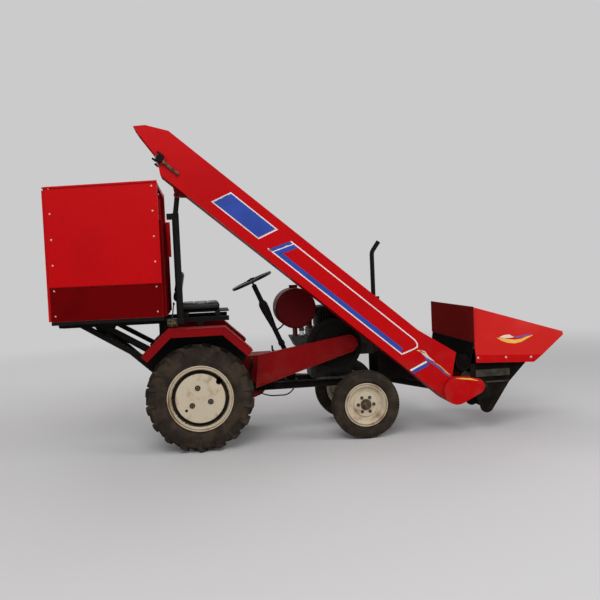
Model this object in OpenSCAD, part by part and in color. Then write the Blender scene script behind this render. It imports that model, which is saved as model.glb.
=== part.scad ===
// Small four-wheel belt-drive tractor with a mounted two-row corn picker.
// Millimetres, +X forward, +Y to the machine's left, +Z up.
// Inside the modules x = 0 is the rear axle and z = 0 the ground.

/* [Wheels] */
// Distance from the rear to the front axle
wheel_base = 1455; // [1400:5:1520]
// Outer diameter of a rear tyre over its lugs
rear_tyre_d = 934; // [900:2:960]
// Width of a rear tyre
rear_tyre_w = 196; // [170:2:210]
// Height of a rear tyre's side, from the rim to the lugs' tops
rear_side_h = 184; // [170:1:196]
// Distance between the rear wheels' middle planes
rear_track = 1000; // [990:2:1020]
// Height of a tread lug
lug_h = 24; // [14:1:30]
// Lugs on each half of a rear tyre
lug_count = 18; // [14:1:20]
// Outer diameter of a front tyre
front_tyre_d = 608; // [590:2:620]
// Width of a front tyre
front_tyre_w = 112; // [100:2:120]
// Height of a front tyre's side, from the rim to the tread
front_side_h = 110; // [104:1:118]
// Distance between the front wheels' middle planes
front_track = 960; // [950:2:990]

/* [Tractor] */
// Clear width between the frame rails
rail_gap = 300; // [280:2:310]
// Clearance of the frame rails over the front axle
rail_clear = 60; // [40:1:64]
// Height of a frame rail
rail_h = 66; // [56:2:70]
// Flange width of a frame rail
rail_w = 45; // [35:1:50]
// Distance of the kingpins from the middle
kingpin_y = 395; // [390:1:400]
// Radius of the engine's flywheel
flywheel_r = 250; // [220:2:255]
// Diameter of the round fuel tank
tank_d = 376; // [350:2:390]
// Length of the fuel tank across the machine
tank_w = 330; // [260:5:335]
// Diameter of the steering wheel
steering_wheel_d = 400; // [340:5:420]
// Width of a fender
fender_w = 236; // [215:1:238]
// Depth of a fender's outer flange
fender_flange = 65; // [40:1:80]

/* [Ear box] */
// Length of the box
box_len = 913; // [800:1:940]
// Outer width of the box
box_w = 1160; // [1000:2:1200]
// Height of the box's floor
box_z = 1185; // [1180:1:1200]
// Height of the side walls at the front
box_front_h = 1146; // [900:2:1160]
// Height of the side walls at the rear
box_rear_h = 1114; // [900:2:1130]
// Thickness of the sheet metal
sheet = 4; // [3:0.5:5]
// Height of the solid part of the front wall
box_front_wall_h = 820; // [600:5:900]

/* [Elevator] */
// Slope of the elevator
elev_angle = 40.57; // [40:0.01:41]
// Depth of the elevator's side walls
elev_depth = 332; // [310:1:345]
// Outer width of the elevator
elev_w = 290; // [260:1:300]
// Distance between the chain's shafts
chain_span = 3276; // [3200:1:3280]
// Pitch radius of the chain's sprockets
chain_r = 55; // [48:1:60]
// Paddles on the chain
paddle_count = 24; // [12:1:28]

/* [Header] */
// Outer width over the hoods
header_w = 1240; // [1236:2:1300]
// Distance between the two rows
row_pitch = 600; // [580:2:620]
// Width of a row's gap between the hoods
row_gap = 170; // [150:2:180]
// Slope of the row units
row_angle = 22; // [18:1:24]
// Radius of the auger's flights
auger_r = 118; // [100:1:122]
// Length of a snapping roll without its cone
roll_len = 260; // [220:1:270]
// Radius of a snapping roll
roll_r = 33; // [26:0.5:34]

/* [Hidden] */
$fn = 48;
eps = 0.5;
gap = 5;
fit = 0.5;
run_gap = 2;
seat_gap = 0.3;

// Colours
bright_red = [0.78, 0.10, 0.08];
dark_red = [0.45, 0.08, 0.09];
black = [0.10, 0.10, 0.11];
steel = [0.55, 0.55, 0.56];
rubber = [0.17, 0.15, 0.13];
cream = [0.80, 0.74, 0.62];

// Wheels and steering
rear_r = rear_tyre_d / 2;
front_r = front_tyre_d / 2;
rear_rim_d = rear_tyre_d - 2 * rear_side_h;
front_rim_d = front_tyre_d - 2 * front_side_h;
rear_y = rear_track / 2;
front_y = front_track / 2;
stub_d = 64;
spindle_d = 40;
stub_out = 90;
spindle_out = 10;
bore_over = 6;
disc_t = 8;
rear_face = 64;
rear_drop = 46;
front_face = 24;
front_drop = 14;
cap_r = 50;
cap_h = 34;
kingpin_d = 30;
axle_z = front_r + 46;
axle_h = 60;
boss_d = 64;
boss_top = axle_z + 70;
boss_bottom = axle_z - axle_h / 2;
arm_t = 14;
arm_back = 130;
arm_in = 25;
arm_z = boss_bottom - run_gap - 56;
drag_arm = 165;
drag_arm_z = boss_top + 17;
link_h = 30;
link_d = 24;
hub_y = 454;
rim_lip = 20;
rear_bead_in = 26;
front_bead_in = 18;
lug_w = 34;
lug_side = 78;

// Frame and drive line
rail_y = rail_gap / 2;
rail_z = axle_z + axle_h / 2 + rail_clear;
rail_top = rail_z + rail_h;
rail_rear_x = 250;
rail_front_x = 1700;
trumpet_d = 150;
trumpet_y = 380;
engine_x = [1030, 1420];
engine_y = [-120, 180];
engine_top = 980;
pump_top = 908;
crank = [1243, 817];
clutch = [650, 662];
belt_y = [-270, -240];
engine_pulley_r = 55;
clutch_pulley_r = 108;
belt_t = 9;
crank_d = 56;
flywheel_y = [-236, -176];
guard_y = [-284, -242];
guard_rear = [[497, 479], [529, 777]];
guard_nose = [1367, 833];
guard_nose_r = 80;
tank_mid = [engine_x[0] - 121, engine_top + gap + tank_d / 2];
radiator_x = [tank_mid.x + tank_d / 2 + 10, engine_x[1] + 80];
radiator_y = 150;
radiator_top = 1180;
column_foot = [tank_mid.x - 74, 705];
column_angle = 23;
column_len = 800;
pitman_pivot = column_foot + [45, -5];
drag_y = kingpin_y - drag_arm;

// Box, trusses and tip cylinder
box_front_x = -272;
box_rear_x = box_front_x - box_len;
box_y = box_w / 2;
base_h = 30;
base_z = box_z - base_h;
truss_y = 300;
truss_w = 50;
beam_h = 40;
beam_top = base_z - gap;
beam_front_x = 285;
box_hinge = [box_rear_x + 25, beam_top - beam_h / 2];
hinge_d = 22;
hinge_boss_r = 18;
tip_foot = [-300, 560];
tip_eye = [-880, 1105];
gate_hinge = [box_rear_x - 12, box_z + box_rear_h - 8];
gate_t = 20;
gate_hinge_d = 16;
gate_lug_r = 12;
eye_pin_d = 28;
eye_r = 27;
eye_w = 46;
neck_len = 42;

// Elevator, with its own frame down its slope
plate_y = 580;
elev_head = [-240, 2375];
elev_y = [-plate_y, -plate_y + elev_w];
elev_mid_y = (elev_y[0] + elev_y[1]) / 2;
shaft_h = 125;
head_s = -80;
tail_s = head_s + chain_span;
boot_r = shaft_h;
shaft_d = 40;
deck_h = 152;
picker_pivot = elev_point(200, -42);
picker_ear_r = 26;
picker_pin_d = 28;
post_x = -138;
post_d = 60;
post_top = 2062;
post_rod_d = 44;

// Header
header_x = 2444;
auger = [2540, 415];
auger_shaft_d = 40;
drive_box = [2345, 632];
drive_box_r = 70;
trough_r = auger_r + 12;
skid = [2550, 236];
skid_r = 65;
plate_kink = [2767, 442];
row_y = row_pitch / 2;
row_root = [2800, 640];
roll_y = roll_r + 8;
flute_h = 5;
cone_len = 70;
hood_tip_x = 3290;
ridge_rear_z = 1132;
ridge_tip_z = 866;
lift_y = 150;
lift_foot = [1750, 466];
lift_eye = [2340, 330];

min_x = gate_hinge.x - gate_lug_r;
mid_x = (hood_tip_x + min_x) / 2;

// Shared shapes and small sums

module machine() translate([-mid_x, 0, 0]) children();

// Extrudes an outline drawn in X and Z from y0 to y1
module upright(y0, y1) translate([0, y1, 0]) rotate([90, 0, 0]) linear_extrude(y1 - y0) children();

module both_sides() {
    children();
    mirror([0, 1, 0]) children();
}

module block(low, high) translate(low) cube(high - low);

module along_y(at, y0, y1, d) upright(y0, y1) translate(at) circle(d = d);

// Round bar between two points
module bar(from, to, d) {
    run = to - from;
    length = norm(run);
    translate(from)
        rotate([0, acos(run.z / length), atan2(run.y, run.x)])
            cylinder(h = length, d = d);
}

function unit(v) = v / norm(v);
function left_of(v) = [-v.y, v.x];
function rise(line, x) = line[0].y + (x - line[0].x) * (line[1].y - line[0].y) / (line[1].x - line[0].x);

// Point i of a line of points, moved by d to the left
function moved(points, i, d) =
    let (last = len(points) - 1,
        before = unit(i > 0 ? points[i] - points[i - 1] : points[1] - points[0]),
        after = unit(i < last ? points[i + 1] - points[i] : points[last] - points[last - 1]),
        mitre = unit(left_of(before) + left_of(after)))
    points[i] + mitre * d / (mitre * left_of(before));

// Closed outline of a bent strip that follows a line of points
function strip(points, t) =
    concat(points, [for (i = [len(points) - 1 : -1 : 0]) moved(points, i, t)]);

function arc(centre, r, from, to, steps = 12) =
    [for (i = [0 : steps]) let (a = from + (to - from) * i / steps) centre + r * [cos(a), sin(a)]];

// Outline with every corner rounded
function rounded(points, r, steps = 5) =
    [for (i = [0 : len(points) - 1])
        let (n = len(points), p = points[i],
            a = unit(points[(i + n - 1) % n] - p), b = unit(points[(i + 1) % n] - p),
            half = acos(a * b) / 2, centre = p + unit(a + b) * r / sin(half),
            from = p + a * r / tan(half) - centre, to = p + b * r / tan(half) - centre,
            start = atan2(from.y, from.x), turn = atan2(to.y, to.x) - start,
            sweep = turn > 180 ? turn - 360 : turn < -180 ? turn + 360 : turn)
        for (k = [0 : steps]) centre + r * [cos(start + sweep * k / steps), sin(start + sweep * k / steps)]];

// Outline of a belt round two circles
function belt_points(a, ra, b, rb, steps = 14) =
    let (turn = atan2(b.y - a.y, b.x - a.x), lean = acos((ra - rb) / norm(b - a)))
    concat(arc(b, rb, turn - lean, turn + lean, steps), arc(a, ra, turn + lean, turn + 360 - lean, steps));

module belt_outline(a, ra, b, rb) polygon(belt_points(a, ra, b, rb));

// Flat lever with round ends, lying in the XY plane
module lever(from, to, r, t) linear_extrude(t) belt_outline(from, r, to, r);

// Rounded box, rounded seen from the side
module pillow(low, high, r)
    upright(low.y, high.y)
        polygon(rounded([[low.x, low.z], [high.x, low.z], [high.x, high.z], [low.x, high.z]], r));

// Tractor

module frame_rails() color(black) machine() {
    both_sides() difference() {
        block([rail_rear_x, rail_y, rail_z], [rail_front_x, rail_y + rail_w, rail_top]);
        block([rail_rear_x - 1, rail_y + 6, rail_z + 6],
            [rail_front_x + 1, rail_y + rail_w + 1, rail_top - 6]);
    }
    block([rail_front_x - 60, -rail_y - eps, rail_z + 8], [rail_front_x, rail_y + eps, rail_top - 8]);
    block([wheel_base - 50, -rail_y - eps, axle_z + axle_h / 2],
        [wheel_base + 50, rail_y + eps, rail_top - 20]);
    nose_y = rail_y + rail_w;
    both_sides() {
        upright(nose_y - 8, nose_y)
            polygon([[rail_front_x - 45, rail_top - 20], [rail_front_x + 44, 477], [rail_front_x + 111, 464],
                [rail_front_x + 330, 450], [rail_front_x + 360, 470], [rail_front_x + 360, 540],
                [rail_front_x + 160, 746], [rail_front_x - 45, 746]]);
        for (y = [lift_y - eye_w / 2 - run_gap - 8, lift_y + eye_w / 2 + run_gap])
            upright(y, y + 8) difference() {
                belt_outline(lift_foot, 32, [rail_front_x - 30, lift_foot.y - 20], 32);
                translate(lift_foot) circle(d = eye_pin_d - 2);
            }
        along_y(lift_foot, lift_y - eye_w / 2 - 12, lift_y + eye_w / 2 + 12, eye_pin_d);
    }
    along_y([rail_front_x + 160, 690], 1 - nose_y, nose_y - 1, 50);
}

module transmission() color(dark_red) machine() {
    upright(-rail_y, rail_y)
        polygon([[680, 760], [680, 540], [560, 400], [430, 350], [180, 310], [-180, 310], [-205, 430],
            [-205, 640], [-120, 750], [150, 760]]);
    both_sides() {
        along_y([0, rear_r], rail_y - eps, trumpet_y - 10, trumpet_d);
        along_y([0, rear_r], trumpet_y - 22, trumpet_y, trumpet_d + 70);
        along_y([0, rear_r], trumpet_y - eps, trumpet_y + stub_out, stub_d);
        upright(eye_w / 2 + run_gap, eye_w / 2 + run_gap + 8)
            belt_outline(tip_foot, 34, [-200, 560], 34);
    }
    along_y(tip_foot, -eye_w / 2 - 10, eye_w / 2 + 10, eye_pin_d);
    along_y(clutch, belt_y[0], -rail_y + eps, 50);
    along_y(clutch, belt_y[0], belt_y[1], 2 * clutch_pulley_r);
    difference() {
        block([-420, -40, 330], [-150, 40, 350]);
        translate([-390, 0, 320]) cylinder(h = 40, d = 26);
    }
}

module front_axle() color(black) machine() difference() {
    union() {
        block([wheel_base - 35, -kingpin_y, axle_z - axle_h / 2],
            [wheel_base + 35, kingpin_y, axle_z + axle_h / 2]);
        both_sides() translate([wheel_base, kingpin_y, boss_bottom])
            cylinder(h = boss_top - boss_bottom, d = boss_d);
    }
    both_sides() translate([wheel_base, kingpin_y, boss_bottom - 1])
        cylinder(h = boss_top - boss_bottom + 2, d = kingpin_d + 2 * fit);
}

module engine() color([0.32, 0.33, 0.32]) machine() {
    upright(engine_y[0], engine_y[1])
        polygon(rounded([[engine_x[0], rail_top], [engine_x[1], rail_top], [engine_x[1], engine_top],
            [engine_x[0], engine_top]], 22));
    block([engine_x[0] + 30, -rail_y - rail_w, rail_top], [engine_x[1] - 30, rail_y + rail_w, rail_top + 20]);
    upright(-110, 135)
        polygon(rounded([[engine_x[1] - 30, 708], [1650, 708], [1650, 940], [engine_x[1] - 30, 940]], 18));
    pillow([1640, -100, 720], [1725, 125, 915], 16);
    upright(engine_y[0], -engine_y[0])
        polygon([[engine_x[0] - 178, pump_top], [engine_x[0] - 132, 815], [engine_x[0] - 95, 780],
            [engine_x[0] + 1, 780], [engine_x[0] + 1, pump_top]]);
    along_y(crank, flywheel_y[1] + 3, engine_y[0] + 1, 150);
    along_y(crank, belt_y[0], flywheel_y[1] + 4, crank_d);
    translate([1585, 60, 930]) cylinder(h = 200, d = 110);
    translate([1585, 60, 1129]) cylinder(h = 40, d1 = 110, d2 = 50);
}

module radiator() color(black) machine() difference() {
    pillow([radiator_x[0], -radiator_y, engine_top], [radiator_x[1], radiator_y, radiator_top], 20);
    both_sides() for (x = [radiator_x[0] + 30 : 24 : radiator_x[1] - 40])
        block([x, radiator_y - 30, engine_top + 30], [x + 12, radiator_y + 1, radiator_top - 30]);
}

module fuel_tank() color(dark_red) machine() {
    r = tank_d / 2;
    w = tank_w / 2;
    edge = 26;
    translate([tank_mid.x, 0, tank_mid.y]) {
        spin_profile(concat([[0, -w]], arc([r - edge, edge - w], edge, -90, 0, 4),
            arc([r - edge, w - edge], edge, 0, 90, 4), [[0, w]]));
        translate([0, 0, r - 10]) cylinder(h = 36, d = 80);
    }
    block([engine_x[0] + 2, -100, engine_top], [engine_x[0] + 30, 100, tank_mid.y - 100]);
    block([tank_mid.x - 12, -90, pump_top], [tank_mid.x + 12, 90, tank_mid.y - r + 20]);
}

module exhaust() color(black) machine() {
    translate([1680, 0, 915]) cylinder(h = 87, d = 42);
    translate([1680, 0, 1000]) cylinder(h = 240, d = 112);
    translate([1680, 0, 1230]) cylinder(h = 410, d = 42);
    translate([1680, 0, 1639.5]) translate([80, 0, 0]) rotate([90, 0, 0])
        rotate([0, 0, 145]) rotate_extrude(angle = 35.3) translate([80, 0]) circle(d = 42);
    translate([1680 + 80 - 80 * cos(35), 0, 1639.5 + 80 * sin(35)]) rotate([0, 35, 0])
        translate([0, 0, -0.5]) cylinder(h = 95, d = 42);
}

module headlamps() color(cream) machine() both_sides() {
    x = radiator_x[1] - 70;
    y = radiator_y + 58;
    z = radiator_top - 90;
    translate([x, y, z]) rotate([0, 90, 0]) cylinder(h = 70, d1 = 50, d2 = 104);
    translate([x + 69.5, y, z]) rotate([0, 90, 0]) cylinder(h = 20, d = 110);
    block([x + 10, radiator_y, z - 8], [x + 30, y - 10, z + 8]);
}

module guard_outline(inset) {
    low = guard_rear[0] + [inset, inset];
    high = guard_rear[1] + [inset, -inset];
    r = guard_nose_r - inset;
    polygon([low, high, touch_point(high, guard_nose, r, 1), guard_nose, touch_point(low, guard_nose, r, -1)]);
    translate(guard_nose) circle(r);
}

// Where a line from a point touches a circle
function touch_point(p, centre, r, side) =
    let (d = norm(centre - p), a = atan2(centre.y - p.y, centre.x - p.x) + side * asin(r / d))
    p + sqrt(d * d - r * r) * [cos(a), sin(a)];

module belt_guard() color(dark_red) machine() {
    difference() {
        upright(guard_y[0], guard_y[1]) guard_outline(0);
        upright(guard_y[0] + sheet, guard_y[1] + 1) guard_outline(sheet);
    }
    along_y(guard_rear[0] + [20, 52], guard_y[0] + 1, -rail_y, 20);
}

module drive_belts() color(rubber) machine() upright(belt_y[0] + 4, belt_y[1] - 4) difference() {
    belt_outline(clutch, clutch_pulley_r + 1.2 + belt_t, crank, engine_pulley_r + 1.2 + belt_t);
    belt_outline(clutch, clutch_pulley_r + 1.2, crank, engine_pulley_r + 1.2);
}

module on_column() translate([column_foot.x, 0, column_foot.y]) rotate([0, -column_angle, 0]) children();

module steering_column() color(black) machine() {
    on_column() cylinder(h = column_len - 40, d = 46);
    on_column() translate([0, 0, column_len - 41]) cylinder(h = 41 + 30, d = 20);
    x = column_foot.x;
    z = column_foot.y;
    block([x - 55, -60, z - 75], [x + 65, 60, z + 65]);
    block([x - 40, -90, rail_top], [x + 50, 90, z - 65]);
    block([x - 50, -rail_y - rail_w, rail_top], [x + 60, rail_y + rail_w, rail_top + 12]);
    along_y(pitman_pivot, 55, drag_y - 18, 44);
    along_y(pitman_pivot, drag_y - 20, drag_y + 18, 30);
}

module footboards() color(black) machine() {
    block([290, -335, 555], [470, -rail_y, 563]);
    block([300, rail_y, 555], [680, 372, 563]);
    bar([650, 220, 560], [720, 220, 760], 18);
    block([700, 190, 745], [712, 260, 800]);
    bar([440, -220, 560], [480, -220, 700], 18);
    block([466, -255, 690], [478, -190, 745]);
}

fender_line = [[-475, 858], [-249, 1073], [242, 1073], [466, 862]];

module fenders() color(dark_red) machine() both_sides() {
    inner_y = trumpet_y;
    outer_y = inner_y + fender_w;
    upright(inner_y, outer_y) polygon(strip(fender_line, -sheet));
    upright(outer_y - sheet, outer_y) polygon(strip(fender_line, -fender_flange));
    upright(inner_y, inner_y + sheet)
        polygon(concat(fender_line, [[330, 640], [200, 500], [-200, 500], [-330, 640]]));
}

module seat() color(black) machine() {
    pillow([-160, -215, 1196], [230, 215, 1275], 30);
    upright(-205, 205) polygon(rounded([[-150, 1270], [-90, 1282], [-150, 1580], [-215, 1570]], 25));
}

module hydraulic_valve() color(steel) machine() {
    block([post_x - 118, -395, beam_top - 65], [post_x - 30, -335, beam_top]);
    for (y = [-380, -365, -350])
        bar([post_x - 74, y, beam_top - 2], [post_x - 54, y, beam_top + 130], 10);
}

module steering_wheel() color(black) machine() on_column() translate([0, 0, column_len]) {
    rotate_extrude() translate([steering_wheel_d / 2 - 14, 0]) circle(d = 28);
    for (a = [30 : 120 : 270])
        rotate([0, 0, a]) rotate([0, 90, 0]) translate([0, 0, 30])
            cylinder(h = steering_wheel_d / 2 - 44, d = 16);
    difference() {
        translate([0, 0, -14]) cylinder(h = 40, d = 74);
        translate([0, 0, -15]) cylinder(h = 46, d = 20 + 2 * fit);
    }
}

// Steering

module knuckle() {
    translate([0, 0, arm_z]) cylinder(h = boss_top + 10 - arm_z, d = kingpin_d);
    translate([0, 0, boss_top + run_gap]) cylinder(h = 15, d = 54);
    translate([0, 0, arm_z]) cylinder(h = 56, d = 70);
    block([-35, -hub_y + kingpin_y, arm_z], [35, 0, arm_z + 56]);
    block([-35, -hub_y + kingpin_y, arm_z], [35, -37, front_r + 42]);
    translate([0, 0, front_r]) rotate([90, 0, 0]) translate([0, 0, hub_y - kingpin_y - 1])
        cylinder(h = front_y + spindle_out + 1 - hub_y, d = spindle_d);
    translate([0, 0, arm_z]) lever([0, 0], [-arm_back, arm_in], 22, arm_t);
}

module knuckle_right() color(black) machine() translate([wheel_base, -kingpin_y, 0]) knuckle();

module knuckle_left() color(black) machine() translate([wheel_base, kingpin_y, 0]) {
    mirror([0, 1, 0]) knuckle();
    translate([0, 0, drag_arm_z]) lever([0, 0], [0, -drag_arm], 22, arm_t);
}

module tie_rod() color(steel) machine() translate([wheel_base - arm_back, 0, arm_z + arm_t + seat_gap]) {
    end_y = kingpin_y - arm_in;
    both_sides() translate([0, end_y, 0]) cylinder(h = link_h, d = 44);
    along_y([0, link_h / 2], -end_y, end_y, link_d);
}

module drag_link() color(steel) machine() {
    front = [wheel_base, drag_y, drag_arm_z + arm_t + seat_gap];
    rear_z = pitman_pivot.y - 200;
    translate(front) cylinder(h = link_h, d = 44);
    bar(front + [0, 0, link_h / 2], [pitman_pivot.x, drag_y + 40, rear_z], link_d);
    along_y([pitman_pivot.x, rear_z], drag_y + 16 + seat_gap, drag_y + 62, 44);
}

module pitman_arm() color(steel) machine() upright(drag_y - 16, drag_y + 16) difference() {
    belt_outline(pitman_pivot, 36, pitman_pivot - [0, 200], 24);
    translate(pitman_pivot) circle(d = 30 + 2 * fit);
}

// Wheels, drawn about the Y axis with the outer face towards -Y

module spin_profile(points) rotate([90, 0, 0]) rotate_extrude($fn = 64) polygon(points);

module rear_tyre() {
    w = rear_tyre_w / 2;
    r = rear_r - lug_h;
    bead = rear_rim_d / 2 - rim_lip;
    seat_w = w - rear_bead_in;
    spin_profile([[bead, -seat_w], [bead + rim_lip + 4, -seat_w], [bead + 60, -w + 8], [r - lug_side, -w + 8],
        [r - 26, -w + 20], [r - 5, -w + 42], [r, 0], [r - 5, w - 42], [r - 26, w - 20], [r - lug_side, w - 8],
        [bead + 60, w - 8], [bead + rim_lip + 4, seat_w], [bead, seat_w]]);
    length = (w - lug_w / 2) * sqrt(2) - lug_w / 2;
    half_wide = (length + lug_w) / sqrt(8);
    top = sqrt(rear_r * rear_r - half_wide * half_wide);
    root = r - 30;
    for (side = [-1, 1], i = [0 : lug_count - 1])
        rotate([0, (i + (side > 0 ? 0.5 : 0)) * 360 / lug_count, 0])
            translate([0, side * w / 2, 0])
                rotate([0, 0, side * 45]) translate([-length / 2, 0, 0]) upright(-lug_w / 2, lug_w / 2)
                    polygon([[0, root], [length - 34, root], [length - 34, r - lug_side],
                        [length, r - lug_side + 14], [length, top - lug_h], [length - lug_h, top], [0, top]]);
}

module front_tyre() {
    w = front_tyre_w / 2;
    bead = front_rim_d / 2 - rim_lip;
    seat_w = w - front_bead_in;
    groove = front_r - 10;
    spin_profile([[bead, -seat_w], [bead + rim_lip + 4, -seat_w], [bead + 40, -w + 2], [front_r - 46, -w],
        [front_r - 14, -w + 14], [groove, -26], [front_r, -24], [front_r, -12], [groove, -10], [groove, -6],
        [front_r, -4], [front_r, 4], [groove, 6], [groove, 10], [front_r, 12], [front_r, 24],
        [groove, 26], [front_r - 14, w - 14], [front_r - 46, w], [bead + 40, w - 2],
        [bead + rim_lip + 4, seat_w], [bead, seat_w]]);
}

// Rim well with lips
module rim_well(rim_d, seat_w) {
    lip = rim_d / 2;
    seat = lip - rim_lip - seat_gap;
    side = seat_w + seat_gap;
    spin_profile([[seat, -side], [lip, -side], [lip, -side - 8], [seat - 8, -side - 8], [seat - 26, -side / 2],
        [seat - 26, side / 2], [seat - 8, side + 8], [lip, side + 8], [lip, side], [seat, side],
        [seat - 16, side / 2], [seat - 16, -side / 2]]);
}

// Disc with a raised flat middle of radius r, its rim flange set back by drop
module wheel_disc(rim_d, r, face, drop) {
    edge = rim_d / 2 - rim_lip - seat_gap - 20;
    back = face - drop;
    spin_profile([[0, face], [r - 5, face], [r, face - 5], [r + 3, back], [edge, back], [edge, back - disc_t],
        [r - 5, back - disc_t], [r - disc_t - 2, face - disc_t], [0, face - disc_t]]);
}

// Hub that is bored from the inner side
module hub(r, face, hub_in, bore_d, bore_end) difference() {
    spin_profile([[0, face - disc_t / 2], [r, face - disc_t / 2], [r, hub_in], [0, hub_in]]);
    spin_profile([[0, bore_end], [bore_d / 2, bore_end], [bore_d / 2, hub_in - 1], [0, hub_in - 1]]);
}

// Place on a wheel's disc, seen from outside
module on_disc(r, angle) rotate([0, -angle, 0]) translate([r, 0, 0]) rotate([90, 0, 0]) children();

module rear_rim() {
    disc_r = rear_rim_d / 2 - 70;
    rim_well(rear_rim_d, rear_tyre_w / 2 - rear_bead_in);
    difference() {
        wheel_disc(rear_rim_d, disc_r, rear_face, rear_drop);
        on_disc(disc_r, 39.5) cylinder(h = rear_face + 1, d = 52);
        on_disc(0.74 * disc_r, 219) cylinder(h = rear_face + 1, d = 26);
    }
    hub(62, rear_face, trumpet_y + sheet + gap - rear_y, stub_d + 2 * fit,
        trumpet_y + stub_out + bore_over - rear_y);
}

module front_rim() {
    rim_well(front_rim_d, front_tyre_w / 2 - front_bead_in);
    wheel_disc(front_rim_d, front_rim_d / 2 - 86, front_face, front_drop);
    spin_profile([[0, front_face - 1], [cap_r, front_face - 1], [cap_r - 4, front_face + 14],
        [cap_r - 14, front_face + 16], [cap_r - 16, front_face + cap_h - 4], [cap_r - 20, front_face + cap_h],
        [0, front_face + cap_h]]);
    hub(44, front_face, hub_y + gap - front_y, spindle_d + 2 * fit, spindle_out + 2);
}

module right_wheel(x, y, r) machine() translate([x, -y, r]) children();
module left_wheel(x, y, r) machine() translate([x, y, r]) mirror([0, 1, 0]) children();

module rear_tyre_right() color(rubber) right_wheel(0, rear_y, rear_r) rear_tyre();
module rear_rim_right() color(cream) right_wheel(0, rear_y, rear_r) rear_rim();
module rear_tyre_left() color(rubber) left_wheel(0, rear_y, rear_r) rear_tyre();
module rear_rim_left() color(cream) left_wheel(0, rear_y, rear_r) rear_rim();
module front_tyre_right() color(rubber) right_wheel(wheel_base, front_y, front_r) front_tyre();
module front_rim_right() color(cream) right_wheel(wheel_base, front_y, front_r) front_rim();
module front_tyre_left() color(rubber) left_wheel(wheel_base, front_y, front_r) front_tyre();
module front_rim_left() color(cream) left_wheel(wheel_base, front_y, front_r) front_rim();

module flywheel() color(black) machine() translate([crank.x, 0, crank.y]) {
    bore = crank_d / 2 + fit;
    rim_r = flywheel_r - 40;
    out = -belt_y[0];
    face = -flywheel_y[0];
    back = -flywheel_y[1];
    spin_profile([[bore, back], [flywheel_r, back], [flywheel_r, face], [rim_r, face], [rim_r, face - 30],
        [engine_pulley_r + 20, face - 30], [engine_pulley_r, face + 4], [engine_pulley_r, out], [bore, out]]);
}

// Ear box and what carries it

module box_trusses() color(black) machine() both_sides() {
    lower = [[-1031, 1128], [-70, 528]];
    upper = [[-863, 1128], [-300, 792]];
    upright(truss_y - truss_w / 2, truss_y + truss_w / 2) {
        translate([box_hinge.x + 10, beam_top - beam_h]) square([beam_front_x - box_hinge.x - 10, beam_h]);
        translate(box_hinge) circle(hinge_boss_r);
        polygon(strip(lower, 46));
        polygon(strip(upper, 40));
        translate([-330, rise(lower, -330)]) square([50, beam_top - beam_h - rise(lower, -330) + 1]);
        translate([5, 560]) square([50, beam_top - beam_h - 559]);
        difference() {
            translate([-100, rear_r]) square([200, 100]);
            translate([0, rear_r]) circle(d = trumpet_d + 0.4);
        }
    }
    upright(truss_y - 30, truss_y - 22) polygon([[-811, 1000], [-740, 1112], [-890, 1112]]);
    along_y(box_hinge, truss_y - truss_w / 2 - 16, truss_y + truss_w / 2 + 16, hinge_d);
}

module support_crossbars() color(black) machine() {
    inner = truss_y - truss_w / 2;
    block([-580, -inner, beam_top - beam_h], [-540, inner, beam_top]);
    block([-315, -inner, 880], [-285, inner, 930]);
    for (x = [-120, 170])
        block([x, -inner - truss_w, beam_top], [x + 40, inner + truss_w, box_z]);
    block([-160, -200, box_z - eps], [290, 200, box_z + 11]);
}

module elevator_post() color(black) machine() {
    block([post_x - 30, -truss_y - truss_w / 2 - 160, beam_top - beam_h],
        [post_x + 30, -truss_y - truss_w / 2, beam_top]);
    translate([post_x, elev_mid_y, beam_top - 1]) cylinder(h = post_top - beam_top, d = post_d);
    block([post_x - 74, elev_mid_y - 26, post_top - 54], [post_x, elev_mid_y + 26, post_top - 4]);
    bar([post_x, elev_mid_y, post_top - 22], [picker_pivot.x, elev_mid_y, picker_pivot.y - 20], post_rod_d);
    along_y(picker_pivot, elev_mid_y - 30, elev_mid_y + 30, 2 * picker_ear_r);
    along_y(picker_pivot, elev_mid_y - 60, elev_mid_y + 60, picker_pin_d);
}

module box_floor() color(black) machine() {
    block([box_rear_x, -box_y, base_z + base_h - sheet], [box_front_x, box_y, box_z]);
    both_sides() block([box_rear_x, box_y - 40, base_z], [box_front_x, box_y, box_z]);
    for (x = [box_rear_x, tip_eye.x - 20, box_front_x - 40])
        block([x, -box_y + 1, base_z], [x + 40, box_y - 1, box_z]);
    both_sides() {
        for (y = [truss_y - truss_w / 2 - 14, truss_y + truss_w / 2 + 4])
            upright(y, y + 10) difference() {
                union() {
                    translate(box_hinge) circle(hinge_boss_r);
                    translate([box_hinge.x - hinge_boss_r, box_hinge.y])
                        square([2 * hinge_boss_r, base_z - box_hinge.y + 1]);
                }
                translate(box_hinge) circle(d = hinge_d + 2 * fit);
            }
        upright(eye_w / 2 + gap, eye_w / 2 + gap + 8) {
            translate(tip_eye) circle(30);
            translate(tip_eye - [30, 0]) square([60, base_z - tip_eye.y + 1]);
        }
        along_y(tip_eye, eye_w / 2 + gap + 7, eye_w / 2 + gap + 18, eye_pin_d);
    }
}

function box_top(x) = box_z + box_rear_h + (box_front_h - box_rear_h) * (x - box_rear_x) / box_len;

module box_sides() color(bright_red) machine() both_sides() {
    outline = [[box_rear_x, box_z], [box_front_x, box_z], [box_front_x, box_top(box_front_x)],
        [box_rear_x, box_top(box_rear_x)]];
    upright(box_y - sheet, box_y) polygon(outline);
    upright(box_y - 26, box_y) polygon(strip([outline[2], outline[3]], 24));
    for (x = [box_rear_x, box_front_x - 34])
        block([x, box_y - 34, box_z], [x + 34, box_y - eps, box_top(x) - 10]);
}

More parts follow.
